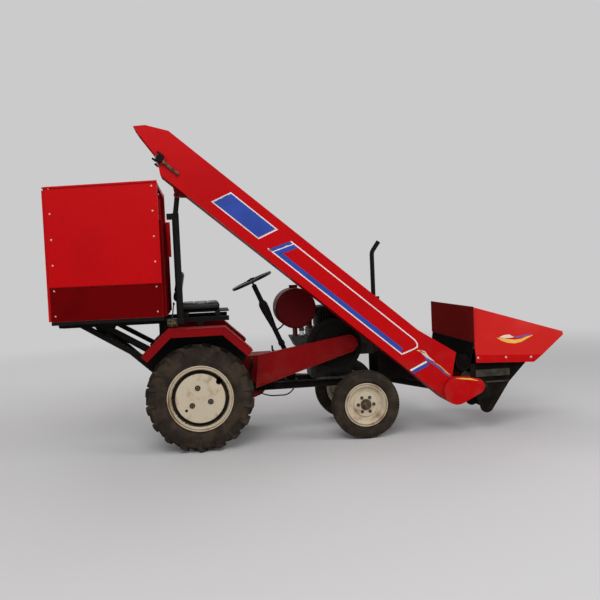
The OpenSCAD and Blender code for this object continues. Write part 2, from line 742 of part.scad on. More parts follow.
module box_front() color(bright_red) machine() {
    inner = box_y - 34;
    block([box_front_x - sheet, -inner, box_z], [box_front_x, inner, box_z + box_front_wall_h]);
    block([box_front_x - 24, -inner, box_z + box_front_wall_h - 30],
        [box_front_x, inner, box_z + box_front_wall_h]);
    rail_low = box_z + box_front_h - 44;
    for (y = [-inner + 80, 0.6 * inner])
        block([box_front_x - 24, y - 18, box_z], [box_front_x, y + 18, rail_low]);
    translate([box_front_x - sheet, 0, 0]) rotate([90, 0, 90]) linear_extrude(sheet)
        polygon([[-inner, rail_low], [inner, rail_low - 175], [inner, rail_low]]);
}

module box_rails() color(bright_red) machine() {
    inner = box_y - 34;
    top = box_z + box_front_h - 14;
    block([box_front_x - 28, -inner, top - 30], [box_front_x, inner, top]);
    block([box_rear_x + 4, -inner, gate_hinge.y - 22], [box_rear_x + 34, inner, gate_hinge.y + 8]);
    for (y = [-400, 0, 400])
        upright(y - 5, y + 5) difference() {
            union() {
                translate(gate_hinge) circle(gate_lug_r);
                translate([gate_hinge.x, gate_hinge.y - 8]) square([24, 16]);
            }
            translate(gate_hinge) circle(d = gate_hinge_d + 2 * fit);
        }
}

module tailgate() color(bright_red) machine() {
    width = box_y - 6;
    x0 = gate_hinge.x - gate_t / 2;
    low = box_z + 2;
    high = gate_hinge.y - 20;
    block([x0 + 6, -width, low], [x0 + 6 + sheet, width, high]);
    for (z = [low, (low + high) / 2 - 20, high - 40])
        block([x0, -width, z], [x0 + gate_t, width, z + 40]);
    both_sides() block([x0, width - 40, low], [x0 + gate_t, width, high]);
    along_y(gate_hinge, -width, width, gate_hinge_d);
    for (y = [-500, -200, 200, 500])
        block([x0 + 4, y - 30, high - 10], [x0 + 12, y + 30, gate_hinge.y]);
}

// Hydraulic cylinder along local X from the foot pin at the origin
module barrel(length, d, bore) difference() {
    union() {
        rotate([90, 0, 0]) cylinder(h = eye_w, r = eye_r, center = true);
        rotate([0, 90, 0]) cylinder(h = neck_len, d = eye_w - 8);
        translate([neck_len - eps, 0, 0]) rotate([0, 90, 0]) cylinder(h = length - neck_len + eps, d = d);
    }
    rotate([90, 0, 0]) cylinder(h = eye_w + 2, d = eye_pin_d + 2 * fit, center = true);
    translate([neck_len + 14, 0, 0]) rotate([0, 90, 0]) cylinder(h = length, d = bore + 2 * fit);
}

// Rod that ends in an eye
module rod(from, to, d) {
    translate([from, 0, 0]) rotate([0, 90, 0]) cylinder(h = to - from - 10, d = d);
    translate([to, 0, 0]) rotate([90, 0, 0]) cylinder(h = eye_w - 6, r = eye_r - 2, center = true);
}

module on_line(from, to, y)
    translate([from.x, y, from.y]) rotate([0, -atan2(to.y - from.y, to.x - from.x), 0]) children();

tip_len = norm(tip_eye - tip_foot);
lift_len = norm(lift_eye - lift_foot);

module tip_barrel() color(black) machine() on_line(tip_foot, tip_eye, 0) barrel(tip_len - 90, 70, 38);
module tip_rod() color(steel) machine() on_line(tip_foot, tip_eye, 0) rod(neck_len + 20, tip_len, 38);
module lift_barrels() color(black) machine() both_sides()
    on_line(lift_foot, lift_eye, lift_y) barrel(lift_len - 100, 60, 32);
module lift_rods() color(steel) machine() both_sides()
    on_line(lift_foot, lift_eye, lift_y) rod(neck_len + 80, lift_len, 32);

// Elevator, drawn down its slope: x from the head, z above its lower edge

module on_elevator() translate([elev_head.x, 0, elev_head.y]) rotate([0, elev_angle, 0]) children();

spout = [[-169, elev_depth], [-347, 248], [-417, 178]];

module elevator_side() difference() {
    union() {
        polygon(concat([[0, 0], [tail_s, 0], [tail_s + 40, shaft_h], [tail_s - 112, 199],
            [tail_s - 215, elev_depth + 56], [tail_s - 620, elev_depth]], spout, [[-362, 160], [-114, 100]]));
        translate([tail_s, shaft_h]) circle(boot_r);
    }
    for (s = [head_s, tail_s])
        translate([s, shaft_h]) circle(d = shaft_d + 2);
}

module elevator_walls() color(bright_red) machine() {
    on_elevator() {
        upright(elev_y[0], elev_y[0] + sheet) elevator_side();
        upright(elev_y[1] - sheet, elev_y[1]) elevator_side();
    }
    trough_x = auger.x - trough_r - sheet;
    for (y = [elev_y[0], elev_y[1] - sheet])
        upright(y, y + sheet)
            polygon([elev_point(tail_s - 112, 198), [trough_x, 505], [trough_x, auger.y],
                elev_point(tail_s + 90, 130)]);
    for (y = [elev_y[0] - 14, elev_y[1] - eps])
        upright(y, y + 14 + eps) translate(elev_point(head_s, shaft_h)) difference() {
            circle(42);
            circle(d = shaft_d + 2);
        }
}

module elevator_floors() color(dark_red) machine() {
    y0 = elev_y[0] + sheet;
    y1 = elev_y[1] - sheet;
    on_elevator() {
        upright(y0, y1) polygon(strip(concat([[0, 0], [tail_s - 40, 0]],
            arc([tail_s, shaft_h], boot_r, -90, 0, 8)), sheet));
        upright(y0, y1) translate([70, deck_h]) square([tail_s - 190, sheet]);
        upright(y0, y1) polygon(strip([spout[2], spout[1], spout[0]], -sheet));
        for (s = [500 : 520 : 2500])
            along_y([s, elev_depth - 16], y0, y1, 22);
    }
    for (y = [elev_mid_y - 50, elev_mid_y + 38])
        upright(y, y + 12) difference() {
            union() {
                translate(picker_pivot) circle(picker_ear_r);
                polygon([elev_point(120, 1), elev_point(280, 1), elev_point(200 + picker_ear_r - 2, -42),
                    elev_point(200 - picker_ear_r + 2, -42)]);
            }
            translate(picker_pivot) circle(d = picker_pin_d + 2 * fit);
        }
}

module elevator_chain() color(steel) machine() on_elevator() {
    head = [head_s, shaft_h];
    tail = [tail_s, shaft_h];
    for (y = [elev_mid_y - 90, elev_mid_y + 66])
        upright(y, y + 24) difference() {
            belt_outline(head, chain_r + 7, tail, chain_r + 7);
            belt_outline(head, chain_r - 7, tail, chain_r - 7);
        }
    for (at = [head, tail]) {
        along_y(at, elev_y[0] + 1, elev_y[1] + 13, shaft_d);
        for (y = [elev_mid_y - 84, elev_mid_y + 72])
            along_y(at, y, y + 12, 2 * chain_r - 10);
    }
    step = 2 * chain_span / paddle_count;
    for (i = [0 : paddle_count / 2 - 1]) {
        s = head_s + (i + 0.5) * step;
        upright(elev_mid_y - 120, elev_mid_y + 120) {
            translate([s, shaft_h + chain_r + 2]) square([8, 50]);
            translate([s, shaft_h - chain_r - 48]) square([8, 46]);
        }
    }
}

module boot_cover() color(bright_red) machine() {
    tail = elev_point(tail_s, shaft_h);
    upright(elev_y[0] - 36, elev_y[0]) belt_outline(tail, boot_r, auger - [90, -5], 70);
}

// Point of the machine's XZ plane for a place on the elevator
function elev_point(s, h) =
    elev_head + [s * cos(elev_angle) + h * sin(elev_angle), -s * sin(elev_angle) + h * cos(elev_angle)];

// Header

back_low = 810;
trough_line = concat([[header_x, back_low], [auger.x - trough_r, 600]],
    arc(auger, trough_r, 180, 360, 16), [[auger.x + trough_r + 10, 600]]);

module auger_trough() color(black) machine() {
    difference() {
        upright(-plate_y + sheet, plate_y - sheet) polygon(strip(trough_line, -sheet));
        block([header_x - 60, elev_y[0] + 2 * sheet, 300],
            [auger.x - trough_r + 40, elev_y[1] - 2 * sheet, 540]);
    }
    both_sides() for (y = [lift_y - eye_w / 2 - gap - 8, lift_y + eye_w / 2 + gap]) {
        upright(y, y + 8) difference() {
            belt_outline(lift_eye, 32, [auger.x - trough_r + 6, lift_eye.y + 20], 32);
            translate(auger) circle(trough_r + 1);
        }
        along_y(lift_eye, y + (y < lift_y ? -10 : 7), y + (y < lift_y ? 1 : 18), eye_pin_d);
    }
    along_y(drive_box, elev_y[0] + sheet, elev_y[1] - 60, 2 * drive_box_r);
    block([drive_box.x, elev_y[0] + 20, drive_box.y - 40],
        [auger.x - trough_r + 8, elev_y[1] - 80, drive_box.y]);
}

module header_back() color(dark_red) machine()
    block([header_x - sheet, -header_w / 2 + 20, back_low + 1], [header_x, header_w / 2 - 20, ridge_rear_z]);

module row_frames() color(black) machine() {
    both_sides() {
        upright(plate_y - sheet, plate_y) plate_outline();
        block([header_x + 6, plate_y - 1, 500], [plate_kink.x, plate_y + 12, 562]);
        block([auger.x, plate_y - 1, plate_kink.y], [plate_kink.x, plate_y + 6, plate_kink.y + 14]);
        upright(row_y - 92, row_y - 92 + sheet) difference() {
            plate_outline();
            translate(auger) circle(trough_r + 2 * sheet);
            translate([auger.x - 400, auger.y]) square([400 + trough_r + 20, 400]);
        }
    }
    along_y(skid, -plate_y + 1, plate_y - 1, 60);
    block([auger.x + trough_r + 30, -plate_y + 1, 560], [auger.x + trough_r + 80, plate_y - 1, 618]);
    on_rows() {
        block([-62, -80, -40], [-2, 80, 40]);
        for (side = [-1, 1])
            translate([-3, side * roll_y, 0]) rotate([0, 90, 0]) cylinder(h = 60, d = 26);
    }
}

module plate_outline() difference() {
    union() {
        translate(auger) circle(trough_r + sheet);
        translate(skid) circle(skid_r);
        polygon([[auger.x - trough_r - sheet, 620], [auger.x - trough_r - sheet, auger.y], skid - [skid_r, 0],
            skid, skid + skid_r * [cos(-33), sin(-33)], plate_kink, [2924, 603], [2929, 620]]);
    }
    translate(auger) circle(d = auger_shaft_d + 2 * fit);
}

module on_rows() for (side = [-1, 1])
    translate([row_root.x, side * row_y, row_root.y]) rotate([0, -row_angle, 0]) children();

module row_decks() color(steel) machine() on_rows() for (side = [-1, 1])
    translate([-62, side > 0 ? 22 : -118, 40]) cube([340, 96, sheet]);

module gathering_chains() color(steel) machine() on_rows() for (side = [-1, 1]) {
    front = [262, side * 70];
    rear = [-10, side * 70];
    translate([0, 0, 58]) linear_extrude(16) difference() {
        belt_outline(rear, 30, front, 30);
        belt_outline(rear, 19, front, 19);
    }
    for (at = [front, rear])
        translate([at.x, at.y, 44]) cylinder(h = 30, d = 42);
    for (i = [0 : 3])
        translate([20 + i * 70 + (side > 0 ? 35 : 0), side * 25 - 17, 58]) cube([10, 34, 16]);
}

// Solid through sections of like points
module loft(sections) {
    n = len(sections[0]);
    last = len(sections) - 1;
    polyhedron([for (section = sections) each section], concat(
        [[for (k = [0 : n - 1]) k]],
        [for (i = [0 : last - 1], k = [0 : n - 1])
            [i * n + k, i * n + n + k, i * n + n + (k + 1) % n, i * n + (k + 1) % n]],
        [[for (k = [n - 1 : -1 : 0]) last * n + k]]));
}

// Sheet through stations that each hold x and the section's line of points
module bent_sheet(stations, t)
    loft([for (s = stations) [for (p = strip(s[1], t)) [s[0], p.x, p.y]]]);

row_out = row_y + row_gap / 2;
row_in = row_y - row_gap / 2;
skirt_y = header_w / 2;

// Stations of an outer hood: x, then skirt foot, skirt top, ridge, row side and row edge as y and z
outer_hood = [
    [header_x, [[skirt_y, 632], [skirt_y, 701], ridge_at(header_x), [row_out, 790], [row_out, 760]]],
    [2989, [[skirt_y, 608], [skirt_y, 674], ridge_at(2989), [row_out + 20, 830], [row_out + 20, 800]]],
    [3064, [[skirt_y, 664], [skirt_y, 670], ridge_at(3064), [row_out + 50, 842], [row_out + 50, 816]]],
    [hood_tip_x, [for (p = [[8, -30], [7, -24], [0, 0], [-12, -24], [-13, -30]]) ridge_at(hood_tip_x) + p]]];

// Ridge of an outer hood, as y and z
function ridge_at(x) =
    let (t = (x - header_x) / (hood_tip_x - header_x))
    [skirt_y - 120 + 78 * t, ridge_rear_z + (ridge_tip_z - ridge_rear_z) * t];

function centre_line(x, w, edge) =
    let (ridge = ridge_at(x).y)
    [[w, edge], [w, edge + 30], [0, ridge], [-w, edge + 30], [-w, edge]];

centre_hood = [centre_line(header_x, row_in, 760), centre_line(2989, row_in - 20, 800),
    centre_line(3064, row_in - 50, 812), centre_line(hood_tip_x, 16, ridge_tip_z - 60)];

module divider_hoods() color(bright_red) machine() {
    both_sides() bent_sheet(outer_hood, sheet);
    bent_sheet([for (i = [0 : 3]) [outer_hood[i][0], centre_hood[i]]], sheet);
}

// Helical flight about the Y axis
module flight(length, r_in, r_out, turns, t, steps = 12) {
    last = turns * steps;
    loft([for (i = [0 : last])
        let (a = 360 * i / steps, y = length * (i / last - 0.5))
        [for (p = [[r_in, -t / 2], [r_out, -t / 2], [r_out, t / 2], [r_in, t / 2]])
            [p.x * cos(a), y + p.y, p.x * sin(a)]]]);
}

module cross_auger() color(steel) machine() translate([auger.x, 0, auger.y]) {
    length = 2 * plate_y - 2 * sheet - 2 * gap;
    rotate([90, 0, 0]) cylinder(h = length, d = 76, center = true);
    rotate([90, 0, 0]) cylinder(h = 2 * plate_y - 2, d = auger_shaft_d, center = true);
    flight(length - 20, 36, auger_r, 5, 5);
}

module snapping_roll(row, side) color(steel) machine()
    translate([row_root.x, row * row_y, row_root.y]) rotate([0, -row_angle, 0])
        translate([0, side * roll_y, 0]) rotate([0, 90, 0]) difference() {
            union() {
                cylinder(h = roll_len, r = roll_r);
                translate([0, 0, roll_len - eps]) cylinder(h = cone_len, r1 = roll_r, r2 = 8);
                for (a = [0 : 90 : 270])
                    rotate([0, 0, a]) translate([roll_r - 4, -4, 6]) cube([flute_h + 4 - 1, 8, roll_len - 12]);
            }
            translate([0, 0, -1]) cylinder(h = 62, d = 26 + 2 * fit);
        }

module snapping_roll_1() snapping_roll(-1, -1);
module snapping_roll_2() snapping_roll(-1, 1);
module snapping_roll_3() snapping_roll(1, -1);
module snapping_roll_4() snapping_roll(1, 1);

frame_rails();
transmission();
front_axle();
engine();
radiator();
fuel_tank();
exhaust();
headlamps();
belt_guard();
drive_belts();
steering_column();
footboards();
fenders();
seat();
hydraulic_valve();
box_trusses();
support_crossbars();
elevator_post();
steering_wheel();
knuckle_right();
knuckle_left();
tie_rod();
drag_link();
pitman_arm();
front_tyre_right();
front_rim_right();
front_tyre_left();
front_rim_left();
rear_tyre_right();
rear_rim_right();
rear_tyre_left();
rear_rim_left();
flywheel();
box_floor();
box_sides();
box_front();
box_rails();
tailgate();
tip_barrel();
tip_rod();
elevator_walls();
elevator_floors();
elevator_chain();
boot_cover();
auger_trough();
header_back();
row_frames();
row_decks();
gathering_chains();
divider_hoods();
cross_auger();
snapping_roll_1();
snapping_roll_2();
snapping_roll_3();
snapping_roll_4();
lift_barrels();
lift_rods();
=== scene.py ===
"""Looks of a small belt-drive tractor with a mounted corn picker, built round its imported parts."""
import math

import bmesh
import bpy
from mathutils import Matrix, Vector


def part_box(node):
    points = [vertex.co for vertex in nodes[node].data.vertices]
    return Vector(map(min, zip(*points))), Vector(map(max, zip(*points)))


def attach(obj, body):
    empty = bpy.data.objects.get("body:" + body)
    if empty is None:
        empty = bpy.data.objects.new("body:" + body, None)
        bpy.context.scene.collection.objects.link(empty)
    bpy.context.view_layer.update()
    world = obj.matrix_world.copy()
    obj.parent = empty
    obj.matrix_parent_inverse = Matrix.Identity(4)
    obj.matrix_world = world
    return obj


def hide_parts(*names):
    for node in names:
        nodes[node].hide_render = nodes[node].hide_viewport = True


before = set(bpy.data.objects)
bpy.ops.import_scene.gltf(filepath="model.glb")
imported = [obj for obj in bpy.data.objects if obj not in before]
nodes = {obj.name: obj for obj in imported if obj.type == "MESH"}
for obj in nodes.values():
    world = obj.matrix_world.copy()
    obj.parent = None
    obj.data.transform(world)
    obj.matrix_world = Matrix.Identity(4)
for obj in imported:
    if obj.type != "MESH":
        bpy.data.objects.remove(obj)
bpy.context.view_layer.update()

# Places are measured in millimetres from the rear axle, the middle plane and the ground
AXLE_X = sum(corner.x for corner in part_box("rear_rim_right")) / 2
MM = 0.001
ELEVATOR_HEAD = (-240, 2375)
ELEVATOR_SLOPE = math.radians(40.57)
ELEVATOR_Y = (-580, -290)
FILM_LIFT = 0.8 * MM
OUTSIDE = 2000
SIDES = (("right", -1), ("left", 1))


def at(x, y, z):
    """A place of the machine as a point of the row frame, in metres."""
    return Vector((AXLE_X + x * MM, y * MM, z * MM))


def on_slope(s, h):
    """x and z of a place on the elevator: s down its slope, h above its lower edge."""
    c, n = math.cos(ELEVATOR_SLOPE), math.sin(ELEVATOR_SLOPE)
    return ELEVATOR_HEAD[0] + s * c + h * n, ELEVATOR_HEAD[1] - s * n + h * c


def linear(red, green, blue):
    """A display colour from 0 to 255 as a linear RGBA colour."""
    parts = [v / 255 for v in (red, green, blue)]
    return [v / 12.92 if v < 0.04045 else ((v + 0.055) / 1.055) ** 2.4 for v in parts] + [1.0]


# Materials

def new_material(name, colour, rough, metal=0.0, gloss=0.3):
    """A principled material and its shader node."""
    material = bpy.data.materials.new(name)
    material.use_nodes = True
    shader = material.node_tree.nodes["Principled BSDF"]
    shader.inputs["Base Color"].default_value = colour
    shader.inputs["Roughness"].default_value = rough
    shader.inputs["Metallic"].default_value = metal
    shader.inputs["Specular IOR Level"].default_value = gloss
    return material, shader


def noise(tree, scale, detail=6.0):
    """Noise that stays with the piece, as a socket from 0 to 1."""
    place = tree.nodes.new("ShaderNodeTexCoord")
    texture = tree.nodes.new("ShaderNodeTexNoise")
    texture.inputs["Scale"].default_value = scale
    texture.inputs["Detail"].default_value = detail
    tree.links.new(place.outputs["Object"], texture.inputs["Vector"])
    return texture.outputs["Fac"]


def ramp(tree, value, low, high, start=0.0, end=1.0):
    """Value stretched so that low gives start and high gives end."""
    node = tree.nodes.new("ShaderNodeMapRange")
    node.interpolation_type = "SMOOTHSTEP"
    node.inputs["From Min"].default_value = low
    node.inputs["From Max"].default_value = high
    node.inputs["To Min"].default_value = start
    node.inputs["To Max"].default_value = end
    tree.links.new(value, node.inputs["Value"])
    return node.outputs["Result"]


def combined(tree, operation, a, b):
    """Two sockets, or a socket and a number, by a maths operation."""
    node = tree.nodes.new("ShaderNodeMath")
    node.operation = operation
    for value, socket in zip((a, b), node.inputs):
        if isinstance(value, (int, float)):
            socket.default_value = value
        else:
            tree.links.new(value, socket)
    return node.outputs["Value"]


def mixed(tree, base, over, share):
    """Colour over laid on base by a share from 0 to 1; base and over are colours or sockets."""
    node = tree.nodes.new("ShaderNodeMix")
    node.data_type = "RGBA"
    sockets = [socket for socket in node.inputs if socket.type == "RGBA"]
    for value, socket in zip((base, over), sockets):
        if isinstance(value, list):
            socket.default_value = value
        else:
            tree.links.new(value, socket)
    factor = next(socket for socket in node.inputs if (socket.type, socket.name) == ("VALUE", "Factor"))
    tree.links.new(share, factor)
    return next(socket for socket in node.outputs if socket.type == "RGBA")


def low_down(tree, low, high):
    """1 near the ground and 0 above high, in metres."""
    place = tree.nodes.new("ShaderNodeTexCoord")
    parts = tree.nodes.new("ShaderNodeSeparateXYZ")
    tree.links.new(place.outputs["Object"], parts.inputs["Vector"])
    return ramp(tree, parts.outputs["Z"], low, high, 1.0, 0.0)


def edges(tree, radius):
    """1 along sharp edges and 0 on flat faces."""
    soft = tree.nodes.new("ShaderNodeBevel")
    soft.inputs["Radius"].default_value = radius
    flat = tree.nodes.new("ShaderNodeNewGeometry")
    both = tree.nodes.new("ShaderNodeVectorMath")
    both.operation = "DOT_PRODUCT"
    tree.links.new(soft.outputs["Normal"], both.inputs[0])
    tree.links.new(flat.outputs["Normal"], both.inputs[1])
    return ramp(tree, both.outputs["Value"], 0.82, 0.97, 1.0, 0.0)


def bumped(material, shader, value, strength, distance):
    """Bump from a height socket."""
    node = material.node_tree.nodes.new("ShaderNodeBump")
    node.inputs["Strength"].default_value = strength
    node.inputs["Distance"].default_value = distance
    material.node_tree.links.new(value, node.inputs["Height"])
    material.node_tree.links.new(node.outputs["Normal"], shader.inputs["Normal"])


# Colours of the materials are display colours from 0 to 255
DUST = (104, 88, 70)
RUST = (112, 70, 42)


def paint(name, colour, shade, bare, rough, gloss, dust, wear):
    """Sprayed sheet metal: slow change of shade, slight waves, rubbed edges and dust near the ground."""
    colour, shade, bare = [linear(*shown) for shown in (colour, shade, bare)]
    material, shader = new_material(name, colour, rough, gloss=gloss)
    tree = material.node_tree
    tone = mixed(tree, colour, shade, ramp(tree, noise(tree, 1.7, 3.0), 0.42, 0.68))
    scuffs = ramp(tree, noise(tree, 25.0), 0.35, 0.60, 0.0, wear)
    tone = mixed(tree, tone, bare, combined(tree, "MULTIPLY", edges(tree, 0.005), scuffs))
    patches = ramp(tree, noise(tree, 9.0), 0.40, 0.72, 0.0, dust)
    dirt = combined(tree, "MULTIPLY", patches, low_down(tree, 0.1, 1.1))
    tree.links.new(mixed(tree, tone, linear(*DUST), dirt), shader.inputs["Base Color"])
    sheen = ramp(tree, noise(tree, 30.0), 0.3, 0.7, rough - 0.06, rough + 0.10)
    tree.links.new(sheen, shader.inputs["Roughness"])
    bumped(material, shader, noise(tree, 2.5, 2.0), 0.10, 0.002)
    return material


def worn(name, colour, stain, low, high, rough, metal=0.0, scale=14.0):
    """A surface with patches of a second colour."""
    colour, stain = linear(*colour), linear(*stain)
    material, shader = new_material(name, colour, rough, metal)
    tree = material.node_tree
    patches = ramp(tree, noise(tree, scale, 8.0), low, high)
    tree.links.new(mixed(tree, colour, stain, patches), shader.inputs["Base Color"])
    bumped(material, shader, noise(tree, scale * 5, 4.0), 0.15, 0.001)
    return material


def rubber(name, colour, dust, strength):
    """Tyre rubber with dried dust in patches."""
    colour, dust = linear(*colour), linear(*dust)
    material, shader = new_material(name, colour, 0.88, gloss=0.2)
    tree = material.node_tree
    patches = ramp(tree, noise(tree, 11.0, 9.0), 0.34, 0.74, 0.0, strength)
    tree.links.new(mixed(tree, colour, dust, patches), shader.inputs["Base Color"])
    bumped(material, shader, noise(tree, 60.0, 4.0), 0.25, 0.002)
    return material


def plain(name, colour, rough, grain=90.0):
    """A material of nearly one colour with fine bump."""
    colour = linear(*colour)
    darker = [v * 0.82 for v in colour[:3]] + [1.0]
    material, shader = new_material(name, colour, rough)
    tree = material.node_tree
    tone = mixed(tree, colour, darker, ramp(tree, noise(tree, 6.0), 0.4, 0.7))
    tree.links.new(tone, shader.inputs["Base Color"])
    bumped(material, shader, noise(tree, grain, 3.0), 0.10, 0.0005)
    return material


# Paints: name, colour, second shade, colour where rubbed, roughness, gloss, dust and wear
RED = paint("bright_red", (186, 6, 12), (176, 5, 11), (120, 60, 50), 0.36, 0.07, 0.20, 0.3)
# Painted sheen: a lighter, pinker red for the upward leaning outer hood panels, as if lit
SHEEN_HOOD_RED = paint("hood_red_painted_sheen", (194, 30, 26), (202, 56, 48), (150, 70, 60), 0.36, 0.07, 0.05, 0.3)
DARK_RED = paint("dark_red", (128, 10, 15), (110, 9, 14), (156, 74, 66), 0.5, 0.05, 0.22, 0.6)
# Painted shade: a darker maroon for the fuel tank, which lies in the shade of the elevator
SHADED_MAROON = paint("maroon_painted_shade", (86, 9, 13), (72, 8, 12), (130, 62, 56), 0.5, 0.05, 0.2, 0.5)
# Painted shade: a darker red for the front of the ear box and its ribs, which lie in shade
SHADED_RED = paint("shaded_red", (104, 7, 10), (84, 6, 9), (120, 60, 50), 0.7, 0.0, 0.2, 0.3)
# Painted shade: a dark red for the back of the header, which faces away from the light
SHADED_HEADER_RED = paint("header_red_painted_shade", (100, 22, 22), (82, 17, 18), (120, 60, 54), 0.7, 0.0, 0.1, 0.4)
MATT_BLACK = paint("matt_black", (17, 16, 15), (23, 21, 19), (64, 58, 50), 0.7, 0.0, 0.10, 0.5)
# Black paint, also used as painted shade inside the fenders' wheel arches
BLACK_PAINT_AND_SHADE = paint("black_paint", (20, 19, 18), (26, 24, 22), (74, 66, 58), 0.6, 0.06, 0.10, 0.5)

# Worn surfaces: name, colour, stain, range of noise that stains, roughness, metal and scale of the noise
STEEL = worn("bare_steel", (150, 148, 144), RUST, 0.52, 0.74, 0.42, 0.85)
IRON = worn("engine_iron", (58, 58, 56), (40, 33, 28), 0.44, 0.66, 0.6, 0.3)
ALLOY = worn("cast_alloy", (104, 104, 100), (58, 52, 46), 0.46, 0.70, 0.55, 0.4)
CREAM = worn("rim_cream", (198, 184, 160), (138, 104, 70), 0.50, 0.80, 0.5, scale=9.0)
# Painted shade: a darker tan ring for the shading in the concave flange of the rims
RIM_SHADE = worn("rim_shade", (160, 142, 116), (104, 82, 58), 0.40, 0.72, 0.6, scale=9.0)
BOLT = worn("bolt_steel", (112, 104, 94), RUST, 0.48, 0.7, 0.45, 0.7, 40.0)
ZINC = worn("zinc", (206, 194, 186), (150, 124, 108), 0.5, 0.75, 0.45, 0.3, 40.0)
# Grime, and painted shade where it fills the groove round the rear wheel discs
GRIME_AND_SHADE = worn("grime_and_painted_shade", (48, 40, 32), (30, 26, 22), 0.4, 0.65, 0.9, scale=24.0)
# Painted highlight: a lighter grey that stands in for the shine on the header's outer bars
BAR_HIGHLIGHT_GREY = worn("bar_painted_highlight", (64, 60, 50), (40, 38, 33), 0.42, 0.66, 0.5, 0.4)
VALVE = worn("valve_iron", (92, 94, 78), (52, 46, 38), 0.42, 0.62, 0.5, 0.3, 30.0)
HUB = worn("hub_iron", (100, 82, 60), (52, 40, 32), 0.38, 0.62, 0.6, 0.2, 30.0)
BRASS = worn("brass", (176, 140, 66), (110, 92, 52), 0.45, 0.7, 0.4, 0.8, 60.0)

# Rubber: name, colour, dust and how thick the dust lies
TYRE = rubber("tyre", (38, 32, 27), (80, 65, 50), 0.5)
BELT = rubber("belt", (26, 25, 25), (60, 55, 48), 0.3)

# Plain surfaces: name, colour and roughness
VINYL = plain("seat_vinyl", (26, 25, 26), 0.46, grain=350.0)
GRIP = plain("grip", (20, 20, 21), 0.4)
GLASS = plain("lamp_glass", (206, 212, 214), 0.12)
BLUE = plain("blue_film", (40, 68, 160), 0.3)
WHITE = plain("white_film", (232, 226, 226), 0.35)
YELLOW = plain("yellow_film", (232, 178, 72), 0.35)
PEARL = plain("pearl_film", (224, 200, 190), 0.35)
VIOLET = plain("violet_film", (86, 78, 156), 0.35)
# Painted highlight: pale pink rivet heads stand in for the glint of light on red painted domes
RIVET_HIGHLIGHT = plain("rivet_painted_highlight", (224, 176, 168), 0.4)

FINISHES = [
    # Painted shade on the front of the ear box
    (SHADED_RED, "box_front"),
    (RED, "box_sides box_rails tailgate elevator_walls boot_cover divider_hoods"),
    (DARK_RED, "transmission belt_guard fenders elevator_floors"),
    # Painted shade on the fuel tank
    (SHADED_MAROON, "fuel_tank"),
    # Painted shade on the back of the header
    (SHADED_HEADER_RED, "header_back"),
    (MATT_BLACK, "auger_trough row_frames"),
    (BLACK_PAINT_AND_SHADE, "frame_rails front_axle radiator exhaust steering_column footboards box_trusses"
        " support_crossbars elevator_post knuckle_right knuckle_left flywheel box_floor tip_barrel"
        " lift_barrels"),
    (VALVE, "hydraulic_valve"),
    (STEEL, "tie_rod drag_link pitman_arm tip_rod elevator_chain row_decks gathering_chains"
        " cross_auger snapping_roll_1 snapping_roll_2 snapping_roll_3 snapping_roll_4 lift_rods"),
    (IRON, "engine"),
    (CREAM, "headlamps front_rim_right front_rim_left rear_rim_right rear_rim_left"),
    (TYRE, "front_tyre_right front_tyre_left rear_tyre_right rear_tyre_left"),
    (BELT, "drive_belts"),
    (VINYL, "seat"),
    (GRIP, "steering_wheel"),
]
for material, names in FINISHES:
    for name in names.split():
        nodes[name].data.materials.clear()
        nodes[name].data.materials.append(material)


# Making pieces

def show(name, data, material, body):
    """An object from mesh or curve data, painted and riding on a body."""
    data.materials.append(material)
    piece = bpy.data.objects.new(name, data)
    bpy.context.scene.collection.objects.link(piece)
    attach(piece, body)
    return piece


def add_piece(name, source, material, body):
    """A piece from a bmesh, which is used up."""
    mesh = bpy.data.meshes.new(name)
    source.to_mesh(mesh)
    source.free()
    return show(name, mesh, material, body)


def add_tube(name, points, r, material, body, smooth=True, closed=False):
    """A round bar along a line of points, bent softly or with corners, or closed to a ring."""
    curve = bpy.data.curves.new(name, "CURVE")
    curve.dimensions = "3D"
    curve.bevel_depth = r * MM
    curve.bevel_resolution = 3
    curve.use_fill_caps = True
    spline = curve.splines.new("BEZIER")
    spline.use_cyclic_u = closed
    spline.bezier_points.add(len(points) - 1)
    for knot, point in zip(spline.bezier_points, points):
        knot.co = point
        knot.handle_left_type = knot.handle_right_type = "AUTO" if smooth else "VECTOR"
    return show(name, curve, material, body)


def surface(node, x, z, side=-1):
    """Point and outward direction of a node's skin at x and z, seen from the right (-1) or left (1)."""
    start = at(x, OUTSIDE * side, z)
    hit, place, normal, _ = nodes[node].ray_cast(start, Vector((0, -side, 0)))
    if not hit:
        raise ValueError(f"{node} has no skin at x {x:.0f}, z {z:.0f}")
    return place, normal if normal.y * side > 0 else -normal


def between(a, b, t):
    """The point a share t of the way from a to b."""
    return [u + (v - u) * t for u, v in zip(a, b)]


def ribbon(name, node, rails, material, side=-1, steps=6, lanes=2):
    """One piece of film on the picker, laid on a node's skin between pairs of lines of x, z points."""
    source = bmesh.new()
    for line_a, line_b in rails:
        for i in range(len(line_a) - 1):
            rows = []
            for k in range(steps + 1):
                ends = [between(line[i], line[i + 1], k / steps) for line in (line_a, line_b)]
                skin = [surface(node, *between(*ends, m / lanes), side) for m in range(lanes + 1)]
                rows.append([source.verts.new(place + normal * FILM_LIFT) for place, normal in skin])
            for low, high in zip(rows, rows[1:]):
                for m in range(lanes):
                    source.faces.new((low[m], low[m + 1], high[m + 1], high[m]))
    bmesh.ops.recalc_face_normals(source, faces=source.faces)
    return add_piece(name, source, material, "picker")


